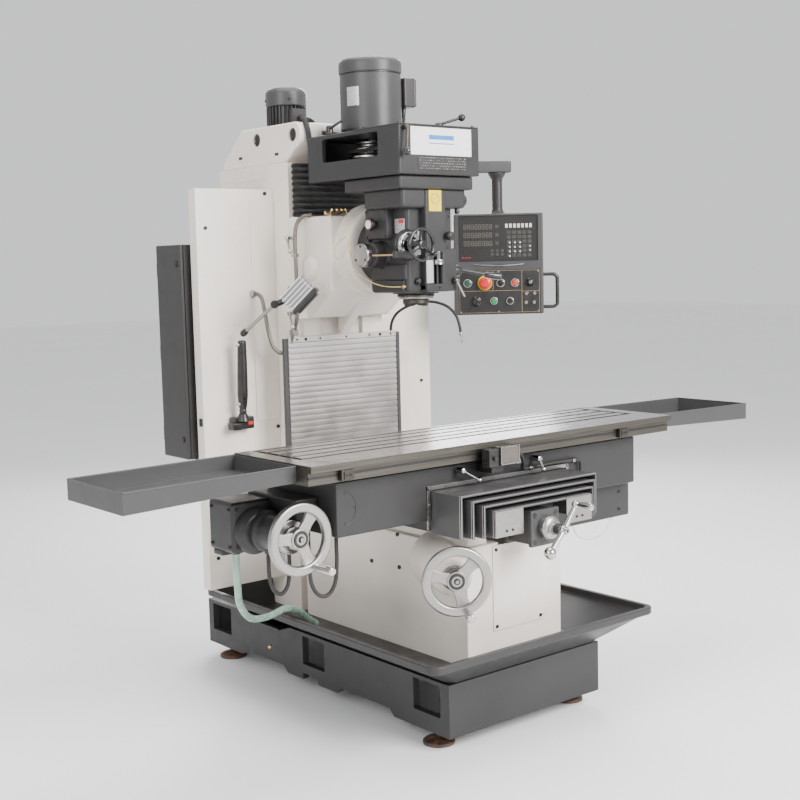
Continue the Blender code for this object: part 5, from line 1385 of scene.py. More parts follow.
def make_drive():
    skin = Piece("belt_housing_finish", "head", grey)
    skin.box((-0.171, 0.366, 1.7442), (0.171, 0.866, 1.9), 0.006, 3)
    wall = 0.014
    inner = Piece("tool", "head", grey).box((wall - 0.171, 0.366 + wall, 1.744 + wall),
                                            (0.171 - wall, 0.866 - wall, 1.886), 0.004)
    tools = [cutter(inner)]
    for s in (-1, 1):
        low, high = sorted((s * 0.1, s * 0.3))
        tools.append(cutter(Piece("tool", "head", grey).box((low, 0.474, 1.808), (high, 0.777, 1.886), 0.01,
                                                            4)))
    tools.append(cutter(Piece("tool", "head", grey).rod((0, 0.505, 1.75), 0.054, 0.06, Z, 0, 64)))
    tools.append(cutter(Piece("tool", "head", grey).rod((0, 0.722, 1.9), 0.03, 0.06, Z, 0, 40)))
    skin.done("belt_housing", tools=tools)
    trim = Piece("housing_lid", "head", grey)
    trim.box((-0.17, 0.367, 1.8985), (0.17, 0.6, 1.9035), 0.003, 3)
    trim.lathe((0, 0.722, 1.9), [(0, 0.009), (0.116, 0.009), (0.119, 0.006), (0.119, -0.001), (0, -0.001)],
               Z, 96)
    for s in (-1, 1):
        low, high = sorted((s * 0.17, s * 0.1716))
        trim.box((low, 0.37, 1.745), (high, 0.862, 1.756), 0.0006)
    trim.done()
    plate = Piece("front_plate", "head", plate_white)
    plate.box((-0.124, 0.3642, 1.806), (0.134, 0.3662, 1.894), 0.0008)
    plate.done()
    mark = Piece("front_plate_mark", "head", plastic("blue print", (0.03, 0.19, 0.52), 0.35, 300.0, 0.02))
    mark.box((-0.048, 0.3637, 1.856), (0.058, 0.3643, 1.87), 0.0002)
    mark.box((-0.048, 0.3637, 1.842), (0.058, 0.3643, 1.845), 0.0002)
    mark.done()
    speeds = Piece("speed_plate", "head", plate_dark)
    speeds.box((-0.094, 0.364, 1.762), (0.112, 0.3662, 1.799), 0.0006)
    speeds.done()
    motor = Piece("drive_motor_finish", "head", grey_light)
    c = Vector((0, 0.722, 0))
    motor.lathe(c, [(0, 2.156), (0.04, 2.156), (0.085, 2.1555), (0.101, 2.152), (0.1075, 2.144),
                    (0.1088, 2.136),
                    (0.1088, 2.109), (0.107, 2.106), (0.102, 2.1055), (0.102, 2.1035), (0.1052, 2.102),
                    (0.1052, 1.92),
                    (0.101, 1.912), (0.101, 1.9006), (0, 1.9006)], steps=112, r=0.001)
    motor.box((0.095, 0.654, 1.998), (0.14, 0.734, 2.096), 0.006, 3)
    motor.box((0.138, 0.656, 2.0), (0.151, 0.732, 2.094), 0.005, 3)
    motor.done("drive_motor")
    seam = Piece("motor_details", "head", black)
    seam.lathe(c, [(0.101, 2.106), (0.1058, 2.106), (0.1058, 2.1036), (0.101, 2.1036)], steps=112, r=0)
    seam.box((0.1365, 0.6535, 1.9975), (0.1385, 0.7345, 2.0965), 0.0008)
    for i in range(7):
        seam.lathe(c + Vector((0, 0, 2.1552)), [(0.02 + 0.008 * i, 0.0), (0.02 + 0.008 * i, 0.0014),
                   (0.023 + 0.008 * i, 0.0014), (0.023 + 0.008 * i, 0.0)], steps=64, r=0)
    for y in (0.664, 0.724):
        for z in (2.008, 2.086):
            seam.socket_screw((0.151, y, z), X, 0.0035, 0.001)
    seam.rod((0.12, 0.694, 1.99), 0.009, 0.02, Z, steps=24)
    seam.done()
    name_plate = Piece("motor_plate", "head", plate_steel)
    patch(name_plate, c, 0.1054, 184, 210, 1.994, 2.056)
    name_plate.done()
    conduit = Piece("motor_conduit", "head", rubber)
    conduit.tube(((0.12, 0.694, 1.985), (0.121, 0.7, 1.95), (0.13, 0.73, 1.92), (0.125, 0.79, 1.912),
                  (0.09, 0.838, 1.912), (0.02, 0.85, 1.912), (-0.07, 0.85, 1.916), (-0.11, 0.858, 1.92)),
                 0.0075, sides=12, ribs=0.0012, pitch=0.006)
    conduit.done()
    cap = Piece("spindle_cap", "head", brass)
    cap.lathe((0, 0.505, 1.903), [(0, 0.02), (0.012, 0.02), (0.014, 0.014), (0.038, 0.013), (0.042, 0.01),
                                   (0.043, 0.0), (0, 0.0)], Z, 64)
    cap.done()
    bolts = Piece("housing_bolts", "head", black)
    for x in (-0.155, 0.155):
        for y in (0.382, 0.585):
            bolts.socket_screw((x, y, 1.9035), Z, 0.006, 0.005)
    for i in range(4):
        angle = math.radians(45 + 90 * i)
        bolts.hex_nut(c + Vector((0.1105 * math.cos(angle), 0.1105 * math.sin(angle), 1.911)), Z, 0.007,
                      0.006)
    bolts.done()
    for node, body, rows, y in (
            ("motor_pulley", "motor_pulley", [(0, 1.8985), (0.012, 1.8985), (0.012, 1.88), (0.056, 1.878),
                                              (0.056, 1.873),
             (0.049, 1.868), (0.049, 1.864), (0.07, 1.856), (0.07, 1.851), (0.063, 1.846), (0.063, 1.838),
             (0.084, 1.83),
             (0.084, 1.824), (0.078, 1.818), (0.078, 1.806), (0.012, 1.806), (0.012, 1.7905), (0, 1.7905)],
             0.722),
            ("spindle_pulley", "spindle_pulley", [(0, 1.88), (0.088, 1.88), (0.088, 1.875), (0.08, 1.87),
                                                  (0.08, 1.864),
             (0.074, 1.856), (0.074, 1.851), (0.067, 1.846), (0.067, 1.838), (0.06, 1.83), (0.06, 1.824),
             (0.054, 1.818),
             (0.054, 1.806), (0.03, 1.806), (0.03, 1.775), (0, 1.775)], 0.505)):
        pulley = Piece(node + "_finish", body, steel)
        pulley.lathe((0, y, 0), rows, Z, 80, 0.0006)
        for i in range(3):
            angle = 2 * math.pi * i / 3
            pulley.socket_screw((0.03 * math.cos(angle), y + 0.03 * math.sin(angle), 1.879), Z, 0.005, 0.002)
        pulley.done(node)
    belt_loop()


def patch(piece, centre, radius, start, end, low, high, thickness=0.0012, steps=14):
    """A thin plate bent round an upright cylinder."""
    shape = bmesh.new()
    rows = []
    turns = [math.radians(start + (end - start) * i / steps) for i in range(steps + 1)]
    for r in (radius - 0.0004, radius + thickness):
        for z in (low, high):
            rows.append([shape.verts.new(Vector(centre) + Vector((r * math.cos(t), r * math.sin(t), z)))
                         for t in turns])
    a, b, c, d = rows
    for i in range(steps):
        shape.faces.new((c[i], c[i + 1], d[i + 1], d[i]))
        shape.faces.new((a[i], b[i], b[i + 1], a[i + 1]))
        shape.faces.new((b[i], d[i], d[i + 1], b[i + 1]))
        shape.faces.new((a[i], a[i + 1], c[i + 1], c[i]))
    shape.faces.new((a[0], c[0], d[0], b[0]))
    shape.faces.new((a[-1], b[-1], d[-1], c[-1]))
    bmesh.ops.recalc_face_normals(shape, faces=shape.faces)
    piece._take(shape, Matrix.Identity(4))


SPINDLE_STEP, MOTOR_STEP = 0.0745, 0.0705           # radii of the two steps under the belt
SPINDLE_AXIS_Y, MOTOR_AXIS_Y = 0.505, 0.722
BELT_Z = 1.846


def belt_loop():
    """Ribbed belt round the middle steps of both pulleys."""
    points = []
    for radius, centre_y, first in ((SPINDLE_STEP, SPINDLE_AXIS_Y, 180), (MOTOR_STEP, MOTOR_AXIS_Y, 0)):
        for a in range(first, first + 181, 6):
            points.append(Vector((radius * math.cos(math.radians(a)),
                                  centre_y + radius * math.sin(math.radians(a)), 0)))
    shape = bmesh.new()
    rings = []
    count = len(points)
    for i, p in enumerate(points):
        ahead = (points[(i + 1) % count] - points[i - 1]).normalized()
        out = Vector((ahead.y, -ahead.x, 0))
        rings.append([shape.verts.new(p + out * u + Vector((0, 0, BELT_Z + v)))
                      for u, v in ((0.0045, -0.006), (0.0085, -0.0055), (0.0085, 0.0055), (0.0045, 0.006),
                                   (0.0, 0.0035),
                                   (0.0, -0.0035))])
    for i in range(count):
        a, b = rings[i], rings[(i + 1) % count]
        for k in range(6):
            shape.faces.new((a[k], a[(k + 1) % 6], b[(k + 1) % 6], b[k]))
    bmesh.ops.recalc_face_normals(shape, faces=shape.faces)
    belt = Piece("drive_belt_finish", "head", rubber)
    belt._take(shape, Matrix.Identity(4))
    belt.done("drive_belt")


def make_quill():
    quill = Piece("quill_finish", "quill", steel)
    quill.lathe((0, 0.505, 0), [(0.0518, 1.719), (0.0518, 1.36), (0.056, 1.359), (0.0575, 1.356),
                                (0.0575, 1.347),
                                (0.056, 1.3454), (0.0245, 1.3454), (0.0245, 1.719)], Z, 80, 0.0006)
    quill.done("quill")
    lugs = Piece("quill_collar", "quill", dull_steel)
    lugs.lathe((0, 0.505, 0), [(0.05, 1.3618), (0.06, 1.3618), (0.062, 1.359), (0.062, 1.353), (0.05, 1.353)],
               Z, 72, 0.0008)
    for i in range(6):
        angle = math.radians(30 + 60 * i)
        out = Vector((math.cos(angle), math.sin(angle), 0))
        lugs.socket_screw(Vector((0, 0.505, 1.3568)) + out * 0.0615, out, 0.0035, 0.0008)
    lugs.done()
    nose = Piece("spindle_finish", "spindle", dull_steel)
    nose.lathe((0, 0.505, 0), [(0.023, 1.737), (0.023, 1.344), (0.043, 1.344), (0.044, 1.342), (0.044, 1.331),
                               (0.04, 1.3262), (0.0215, 1.3262), (0.0105, 1.419), (0.0105, 1.737)], Z, 72,
                               0.0006)
    nose.done("spindle")
    keys = Piece("spindle_keys", "spindle", black)
    for i in range(4):
        angle = math.radians(20 + 90 * i)
        place = Matrix.Translation((0, 0.505, 1.329)) @ Matrix.Rotation(angle, 4,
                                                                "Z") @ Matrix.Translation((0.0335, 0, 0))
        keys.block(place, (0.018, 0.0155, 0.015), 0.0015)
    keys.done()


def make_head_controls():
    c = Vector((-0.1, 0.352, 1.522))
    wheel = Piece("feed_handwheel_finish", "feed_wheel", black_gloss)
    rim = [(0.0495 + 0.0055 * math.cos(math.radians(a)), 0.007 * math.sin(math.radians(a))) for a in range(0,
                                                                360, 24)]
    wheel.lathe(c, rim, -Y, 80, 0)
    wheel.lathe(c, [(0, 0.01), (0.01, 0.0098), (0.014, 0.008), (0.016, 0.0), (0.016, -0.03), (0.019, -0.042),
                    (0.019, -0.072), (0, -0.072)], -Y, 48)
    for i in range(3):
        angle = math.radians(90 + 120 * i)
        out = Vector((math.cos(angle), 0, math.sin(angle)))
        wheel.tube([c + out * 0.01 + Vector((0, 0.002, 0)), c + out * 0.03 + Vector((0, 0.003, 0)),
                    c + out * 0.0465],
                   0.0066, sides=16, ends=0.005)
    wheel.done("feed_handwheel")
    tip = Piece("feed_wheel_grip", "feed_wheel", black_gloss)
    seat = c + Vector((0.0495 * math.cos(math.radians(-40)), 0, 0.0495 * math.sin(math.radians(-40))))
    tip.lathe(seat, [(0, 0.03), (0.0045, 0.03), (0.0062, 0.026), (0.0055, 0.01), (0.004, 0.004), (0, 0.004)],
              -Y, 28)
    tip.done()
    hub = Vector((0.135, 0.47, 1.435))
    lever = Piece("quill_lever_finish", "quill_lever", black)
    lever.lathe(hub, [(0, 0.0362), (0.011, 0.0362), (0.015, 0.032), (0.0195, 0.024), (0.02, 0.01),
                      (0.017, -0.01),
                      (0.02, -0.02), (0.02, -0.0362), (0, -0.0362)], X, 56)
    end = hub + Vector((0.135, -0.055, -0.02))
    lever.tube([hub + Vector((0.02, 0, 0)), hub + Vector((0.04, -0.01, 0)), end], 0.0058, sides=16)
    lever.done("quill_lever")
    grip = Piece("quill_lever_grip", "quill_lever", black_gloss)
    grip.lathe(end, [(0, 0.03), (0.01, 0.03), (0.012, 0.027), (0.012, 0.0), (0.01, -0.02), (0.0075, -0.03),
                     (0, -0.03)], (0.92, -0.38, -0.14), 36)
    grip.done()
    pivot = Vector((0.06, 0.44, 1.9))
    speed = Piece("speed_lever_finish", "speed_lever", black)
    speed.lathe(pivot, [(0, 0.02), (0.01, 0.02), (0.015, 0.016), (0.016, 0.01), (0.016, 0.0037),
                        (0, 0.0037)], Z,
                48)
    end = pivot + Vector((0.075, -0.03, 0.038))
    speed.tube([pivot + Vector((0, 0, 0.014)), end], 0.0045, sides=14)
    speed.ball(end, 0.0125, 32)
    speed.done("speed_lever")
    pivot = Vector((-0.15, 0.76, 1.9))
    brake = Piece("brake_lever_finish", "brake_lever", black)
    brake.lathe(pivot, [(0, 0.032), (0.008, 0.032), (0.012, 0.028), (0.012, 0.006), (0.015, 0.004),
                        (0.015, 0.001),
                        (0, 0.001)], Z, 40)
    end = pivot + Vector((-0.03, -0.11, 0.036))
    brake.tube([pivot + Vector((0, 0, 0.022)), end], 0.0055, sides=16, ends=0.0042)
    brake.ball(end, 0.0056)
    brake.done("brake_lever")
    latch = Piece("housing_lever", "head", dull_steel)
    latch.rod((-0.15, 0.356, 1.89), 0.008, 0.02, Y, steps=28)
    latch.tube([(-0.15, 0.347, 1.894), (-0.154, 0.345, 1.86), (-0.158, 0.343, 1.82)], 0.0046, sides=16)
    latch.done()
    knob = Piece("housing_lever_knob", "head", black_gloss)
    knob.ball((-0.1585, 0.3425, 1.813), 0.013, 32)
    knob.done()


# ---------------------------------------------------------------- arm and pendant
def make_pendant():
    along = Vector((math.cos(math.radians(-27.3)), math.sin(math.radians(-27.3)), 0))
    pivot = Vector((0.255, 0.93, 1.815))
    arm = Piece("control_arm_finish", "arm", grey)
    place = Matrix.Translation(pivot + along * 0.2125) @ Matrix.Rotation(math.radians(-27.3), 4, "Z")
    arm.block(place, (0.475, 0.04, 0.043), 0.004, 3)
    arm.done("control_arm")
    caps = Piece("control_arm_caps", "arm", black)
    for offset in (-0.2378, 0.2378):
        caps.block(place @ Matrix.Translation((offset, 0, 0)), (0.003, 0.036, 0.039), 0.001)
    caps.lathe(pivot + Vector((0, 0, 0.0215)), [(0, 0.012), (0.01, 0.012), (0.016, 0.007), (0.018, 0.0),
                                                (0, 0.0)], Z, 32)
    caps.done()
    post = pivot + along * 0.4
    turn = Matrix.Rotation(math.radians(-39.0), 4, "Z")
    local = Matrix.Translation((post.x, post.y, 1.453)) @ turn
    out = (turn @ Vector((0, -1, 0))).normalized()
    shell = Piece("pendant_finish", "pendant", grey_light)
    shell.block(local, (0.336, 0.074, 0.378), 0.006, 3)
    tool_screen = cutter(Piece("tool", "pendant", grey).block(local @ Matrix.Translation((-0.001, -0.034,
                                                                0.096)),
                                                              (0.298, 0.02, 0.17), 0.004))
    tool_panel = cutter(Piece("tool", "pendant", grey).block(local @ Matrix.Translation((0.001, -0.0385,
                                                                -0.103)),
                                                             (0.308, 0.006, 0.164), 0.001))
    holes = [((-0.054, -0.07), 0.0164), ((-0.119, -0.07), 0.0122)]

    def hole_tools():
        return [cutter(Piece("tool", "pendant", grey).rod(local @ Vector((u, -0.037, v)), radius, 0.024, out,
                                                          0, 40))
                for (u, v), radius in holes]

    shell.done("pendant", tools=[tool_screen, tool_panel] + hole_tools())
    neck = Piece("pendant_post", "pendant", grey)
    neck.lathe((post.x, post.y, 0), [(0, 1.7928), (0.033, 1.7928), (0.033, 1.789), (0.021, 1.77),
                                     (0.02, 1.76),
                                     (0.02, 1.66), (0.024, 1.648), (0.03, 1.643), (0.03, 1.6405),
                                     (0, 1.6405)],
               Z, 48, 0.002)
    neck.done()
    handle = Piece("pendant_handle", "pendant", black)
    path = [(0.162, -0.01, -0.042), (0.204, -0.01, -0.042), (0.2135, -0.01, -0.045), (0.2195, -0.01, -0.051),
            (0.222, -0.01, -0.06), (0.222, -0.01, -0.146), (0.2195, -0.01, -0.155), (0.2135, -0.01, -0.161),
            (0.204, -0.01, -0.164), (0.162, -0.01, -0.164)]
    handle.tube([local @ Vector(p) for p in path], 0.0072, step=0.004, sides=18)
    handle.done()

    def at(u, v, depth=0.0):
        return local @ Vector((u, -0.037 - depth, v))

    def slab(piece, u, v, w, h, d, depth, r=0.0008):
        piece.block(local @ Matrix.Translation((u, -0.037 - depth + d / 2, v)), (w, d, h), r, 2)

    window = Piece("readout_window", "pendant", screen_look)
    slab(window, -0.001, 0.096, 0.2975, 0.1695, 0.003, -0.0065, 0.001)
    window.done()
    digits = Piece("readout_digits", "pendant", segment)
    for row in range(3):
        for col in range(8):
            u = -0.125 + col * 0.0138
            v = 0.14 - row * 0.031
            for du, dv, w, h in ((0, 0.0085, 0.0072, 0.0016), (0, 0, 0.0072, 0.0016),
                                 (0, -0.0085, 0.0072, 0.0016),
                                 (-0.0042, 0.0043, 0.0016, 0.0068), (0.0042, 0.0043, 0.0016, 0.0068),
                                 (-0.0042, -0.0043, 0.0016, 0.0068), (0.0042, -0.0043, 0.0016, 0.0068)):
                slab(digits, u + du, v + dv, w, h, 0.0006, -0.006, 0)
    digits.done()
    light_keys = Piece("readout_light_keys", "pendant", keycap_light)
    for col in range(7):
        slab(light_keys, 0.031 + col * 0.015, 0.142, 0.0098, 0.015, 0.002, -0.0048, 0.001)
    for row in range(3):
        for col in range(3):
            slab(light_keys, 0.0425 + col * 0.0195, 0.079 - row * 0.0165, 0.006, 0.006, 0.0022, -0.0042,
                 0.0015)
    slab(light_keys, 0.0425, 0.029, 0.006, 0.006, 0.0022, -0.0042, 0.0015)
    for v in (0.065, 0.05):
        slab(light_keys, 0.119, v, 0.005, 0.006, 0.0022, -0.0042, 0.0015)
    light_keys.done()
    keys = Piece("readout_keys", "pendant", keycap)
    for row in range(6):
        for col in range(5):
            slab(keys, 0.0385 + col * 0.0195, 0.117 - row * 0.017, 0.0145, 0.0125, 0.0018, -0.0052, 0.0012)
    for row in range(3):
        slab(keys, -0.006, 0.14 - row * 0.031, 0.013, 0.013, 0.0018, -0.0052, 0.0012)
    for col in range(3):
        for row in range(2):
            slab(keys, -0.025 + col * 0.0195, 0.05 - row * 0.014, 0.0115, 0.0105, 0.0018, -0.0052, 0.0012)
    keys.done()
    lamp_mark = Piece("readout_mark", "pendant", red)
    for i in range(3):
        slab(lamp_mark, -0.133 + i * 0.012, 0.026, 0.008, 0.0022, 0.0006, -0.0058, 0)
    lamp_mark.done()
    badge = Piece("pendant_trim", "pendant", chrome)
    arc = [at(-0.094 + 0.188 * i / 24, -0.0005 - 0.0065 * math.sin(math.pi * i / 24),
              0.001) for i in range(25)]
    badge.tube(arc, 0.002, sides=10)
    badge.tube([p + Vector((0, 0, 0.0016)) for p in arc[4:21]], 0.0016, sides=10)
    badge.done()
    badge_centre = Piece("pendant_trim_block", "pendant", black)
    slab(badge_centre, 0.0, -0.007, 0.042, 0.0095, 0.003, 0.0024, 0.001)
    badge_centre.done()
    panel = Piece("button_panel", "pendant", black)
    slab(panel, 0.001, -0.103, 0.306, 0.162, 0.003, 0.0002, 0.0006)
    panel.done(tools=hole_tools())
    border = Piece("button_panel_lines", "pendant", brass)
    for u, v, w, h in ((0.001, -0.0245, 0.3, 0.0009), (0.001, -0.1812, 0.3, 0.0009),
                       (-0.149, -0.103, 0.0009, 0.1575),
                       (0.151, -0.103, 0.0009, 0.1575), (-0.023, -0.062, 0.0012, 0.074),
                       (0.0855, -0.103, 0.0012, 0.1575),
                       (-0.032, -0.0995, 0.234, 0.0012), (0.118, -0.103, 0.065, 0.0012)):
        slab(border, u, v, w, h, 0.0006, 0.0006, 0)
    border.done()
    heads = Piece("button_panel_screws", "pendant", steel)
    for u in (-0.145, -0.002, 0.147):
        for v in (-0.028, -0.178):
            heads.socket_screw(at(u, v, 0.0002), out, 0.0032, 0.0014)
    heads.done()
    rings = Piece("button_rings", "pendant", chrome)
    for u, v, r in ((-0.119, -0.07, 0.0165), (0.005, -0.071, 0.0165), (0.059, -0.071, 0.0165),
                    (-0.021, -0.1375, 0.015),
                    (0.04, -0.139, 0.015)):
        inner = r - 0.0042
        rings.lathe(at(u, v), [(inner, 0.0005), (inner, 0.0052), (r - 0.001, 0.0052), (r, 0.0035),
                               (r, 0.0005)], out, 48,
                    0.0006)
    for u, v in ((0.1025, -0.112), (0.133, -0.112), (0.1005, -0.146), (0.131, -0.146)):
        rings.lathe(at(u, v), [(0, 0.003), (0.006, 0.003), (0.0068, 0.001), (0.0068, 0.0), (0, 0.0)], out,
                    28, 0.0004)
        rings.tube([at(u, v, 0.003), at(u + 0.001, v + 0.004, 0.013)], 0.0018, sides=12, ends=0.003)
    rings.done()
    caps = Piece("button_caps_dark", "pendant", black_gloss)
    r = 0.02
    caps.lathe(at(-0.089, -0.1385), [(0, 0.015), (r * 0.62, 0.015), (r * 0.72, 0.012), (r * 0.8, 0.005),
                                      (r, 0.0035), (r, 0.0003), (0, 0.0003)], out, 56)
    caps.lathe(at(0.005, -0.071), [(0, 0.0085), (0.0105, 0.0085), (0.012, 0.006), (0.012, 0.0003),
                                   (0, 0.0003)], out, 40)
    caps.block(local @ Matrix.Translation((0.005, -0.037 - 0.01, -0.071)), (0.0042, 0.007, 0.02), 0.001)
    caps.lathe(at(0.04, -0.139), [(0, 0.011), (0.0085, 0.011), (0.01, 0.008), (0.0105, 0.0003), (0, 0.0003)],
               out, 40)
    caps.done()
    stop_button = Piece("stop_button", "pendant", red)
    stop_button.lathe(at(0.059, -0.071), [(0, 0.009), (0.009, 0.0088), (0.0112, 0.007), (0.0112, 0.0003),
                                          (0, 0.0003)],
                      out, 40)
    stop_button.done()
    jog = Piece("jog_button", "pendant", green)
    jog.lathe(at(-0.021, -0.1375), [(0, 0.0085), (0.009, 0.0083), (0.0104, 0.0065), (0.0104, 0.0003),
                                    (0, 0.0003)], out, 40)
    jog.done()
    base = Piece("stop_base", "pendant", yellow)
    base.lathe(at(-0.054, -0.07), [(0.0236, 0.0004), (0.0236, 0.003), (0.0262, 0.004), (0.0272, 0.003),
                                   (0.0272, 0.0004)],
               out, 64, 0.0006)
    base.done()
    stop = Piece("emergency_stop_finish", "emergency_stop", red)
    stop.lathe(at(-0.054, -0.07, 0.0004), [(0, 0.03), (0.012, 0.0296), (0.019, 0.027), (0.0225, 0.0225),
                                           (0.0225, 0.015),
                                            (0.0155, 0.012), (0.0155, 0.0), (0, 0.0)], out, 64)
    stop.done("emergency_stop")
    collar = Piece("emergency_stop_collar", "pendant", yellow)
    collar.lathe(at(-0.054, -0.07, 0.0004), [(0.0168, 0.0062), (0.0218, 0.0062), (0.023, 0.005),
                                             (0.023, 0.0003),
                                              (0.0168, 0.0003)], out, 56, 0.0006)
    collar.done()
    marks = Piece("emergency_stop_marks", "emergency_stop", black)
    for k in range(3):
        arc = [at(-0.054 + 0.0145 * math.cos(math.radians(a + 120 * k)),
                  -0.07 + 0.0145 * math.sin(math.radians(a + 120 * k)),
                  0.0296) for a in range(10, 95, 8)]
        marks.tube(arc, 0.0007, sides=6)
    marks.done()
    start = Piece("start_button_finish", "start_button", dark_green)
    start.lathe(at(-0.119, -0.07, 0.0004), [(0, 0.0098), (0.0095, 0.0095), (0.0117, 0.0075), (0.0117, 0.0),
                                            (0, 0.0)], out, 48)
    start.done("start_button")
    knob = Piece("speed_knob_finish", "speed_knob", black_gloss)
    knob.lathe(at(0.116, -0.07, 0.0004), [(0, 0.018), (0.009, 0.018), (0.011, 0.015), (0.0135, 0.006),
                                          (0.0168, 0.004),
                                           (0.0168, 0.0), (0, 0.0)], out, 56)
    knob.block(local @ Matrix.Translation((0.116, -0.0374 - 0.0178, -0.066)), (0.0016, 0.0012, 0.009), 0.0003)
    knob.done("speed_knob")
    pointer = Piece("speed_knob_centre", "speed_knob", chrome)
    pointer.lathe(at(0.116, -0.07, 0.018), [(0, 0.001), (0.005, 0.0008), (0.0055, 0.0), (0, 0.0)], out, 32,
                  0.0003)
    pointer.done()
    rear = Piece("pendant_back", "pendant", grey)
    rear.block(local @ Matrix.Translation((0, 0.038, 0)), (0.316, 0.003, 0.358), 0.001)
    rear.done()
    rear_screws = Piece("pendant_back_screws", "pendant", black)
    for u in (-0.148, 0.148):
        for v in (-0.168, 0.0, 0.168):
            rear_screws.socket_screw(local @ Vector((u, 0.0395, v)), -out, 0.0035, 0.002)
    for i in range(9):
        rear_screws.block(local @ Matrix.Translation((0, 0.0396, 0.06 + 0.01 * i)), (0.12, 0.001, 0.004),
                          0.0004)
    rear_screws.done()


# ---------------------------------------------------------------- lamp and coolant
def make_lamp():
    pivot, elbow, neck, head = (Vector((-0.385, 0.998, 0.965)), Vector((-0.387, 0.985, 1.231)),
                                Vector((-0.349, 0.83, 1.337)),
                                Vector((-0.292, 0.77, 1.37)))
    foot = Piece("lamp_base_finish", "machine", black)
    foot.box((-0.415, 1.004, 0.9), (-0.335, 1.0445, 0.943), 0.005, 3)
    foot.box((-0.43, 0.99, 0.9), (-0.39, 1.03, 0.926), 0.005, 3)
    foot.lathe((-0.385, 0.998, 0), [(0, 0.958), (0.013, 0.958), (0.015, 0.954), (0.02, 0.942), (0.023, 0.93),
                                    (0, 0.93)], Z, 40)
    foot.done("lamp_base")
    switch = Piece("lamp_switch", "machine", red)
    switch.box((-0.362, 1.0018, 0.914), (-0.342, 1.0042, 0.926), 0.001)
    switch.done()
    lower = (elbow - pivot).normalized()
    arm = Piece("lamp_lower_arm_finish", "lamp_lower", black)
    length = (elbow - pivot).length - 0.025
    middle = (pivot + elbow) / 2 - lower * 0.006
    arm.lathe(middle, [(0, length / 2), (0.012, length / 2), (0.015, length / 2 - 0.006),
                       (0.0165, length / 2 - 0.06),
                       (0.0178, 0.0), (0.0185, -length / 2 + 0.05), (0.015, -length / 2 + 0.012),
                       (0.012, -length / 2),
                       (0, -length / 2)], lower, 40, 0.003)
    arm.ball(pivot, 0.0135, 28)
    arm.done("lamp_lower_arm")
    studs = Piece("lamp_knobs", "lamp_lower", chrome)
    for p in (pivot + lower * 0.026, elbow - lower * 0.034):
        studs.lathe(p + Vector((-0.016, -0.004, 0)), [(0, 0.01), (0.005, 0.01), (0.007, 0.006), (0.007, 0.0),
                                                      (0, 0.0)],
                    (-0.8, -0.6, 0), 24)
    studs.done()
    upper = (neck - elbow).normalized()
    rod = Piece("lamp_upper_arm_finish", "lamp_upper", steel)
    rod.rod((elbow + neck) / 2, 0.0062, (neck - elbow).length - 0.016, upper, steps=32)
    rod.done("lamp_upper_arm")
    knuckle = Piece("lamp_elbow_joint", "lamp_upper", black)
    knuckle.lathe(elbow + upper * 0.014, [(0, 0.016), (0.008, 0.016), (0.011, 0.01), (0.012, -0.004),
                                          (0.009, -0.012),
                                          (0, -0.012)], upper, 32)
    knuckle.done()
    down = Vector((0.55, -0.45, -0.7)).normalized()
    across = down.cross(Z).normalized()
    frame_m = Matrix((across, down.cross(across).normalized(), down)).transposed().to_4x4()
    local = Matrix.Translation(head) @ frame_m
    shade_piece = Piece("lamp_head_finish", "lamp_head", lamp_alloy)
    shade_piece.block(local @ Matrix.Translation((0, 0, -0.004)), (0.074, 0.098, 0.066), 0.006, 3)
    for i in range(5):
        shade_piece.block(local @ Matrix.Translation((0, 0, -0.032 + 0.0135 * i)), (0.088, 0.106, 0.0074),
                          0.0026, 2)
    shade_piece.done("lamp_head")
    caps = Piece("lamp_caps", "lamp_head", black)
    caps.block(local @ Matrix.Translation((0, 0, 0.034)), (0.094, 0.112, 0.015), 0.004, 3)
    caps.block(local @ Matrix.Translation((0, 0, 0.045)), (0.072, 0.088, 0.01), 0.003, 3)
    caps.tube([neck, neck + (head - neck) * 0.35, head - down * 0.032], 0.0105, step=0.006, sides=18)
    caps.lathe(neck, [(0, 0.013), (0.012, 0.013), (0.014, 0.009), (0.014, -0.009), (0.012, -0.013),
                      (0, -0.013)], across,
               32)
    caps.done()
    glass = Piece("lamp_lens", "lamp_head", clear)
    glass.block(local @ Matrix.Translation((0, 0, 0.0504)), (0.06, 0.074, 0.0016), 0.0005)
    glass.done()


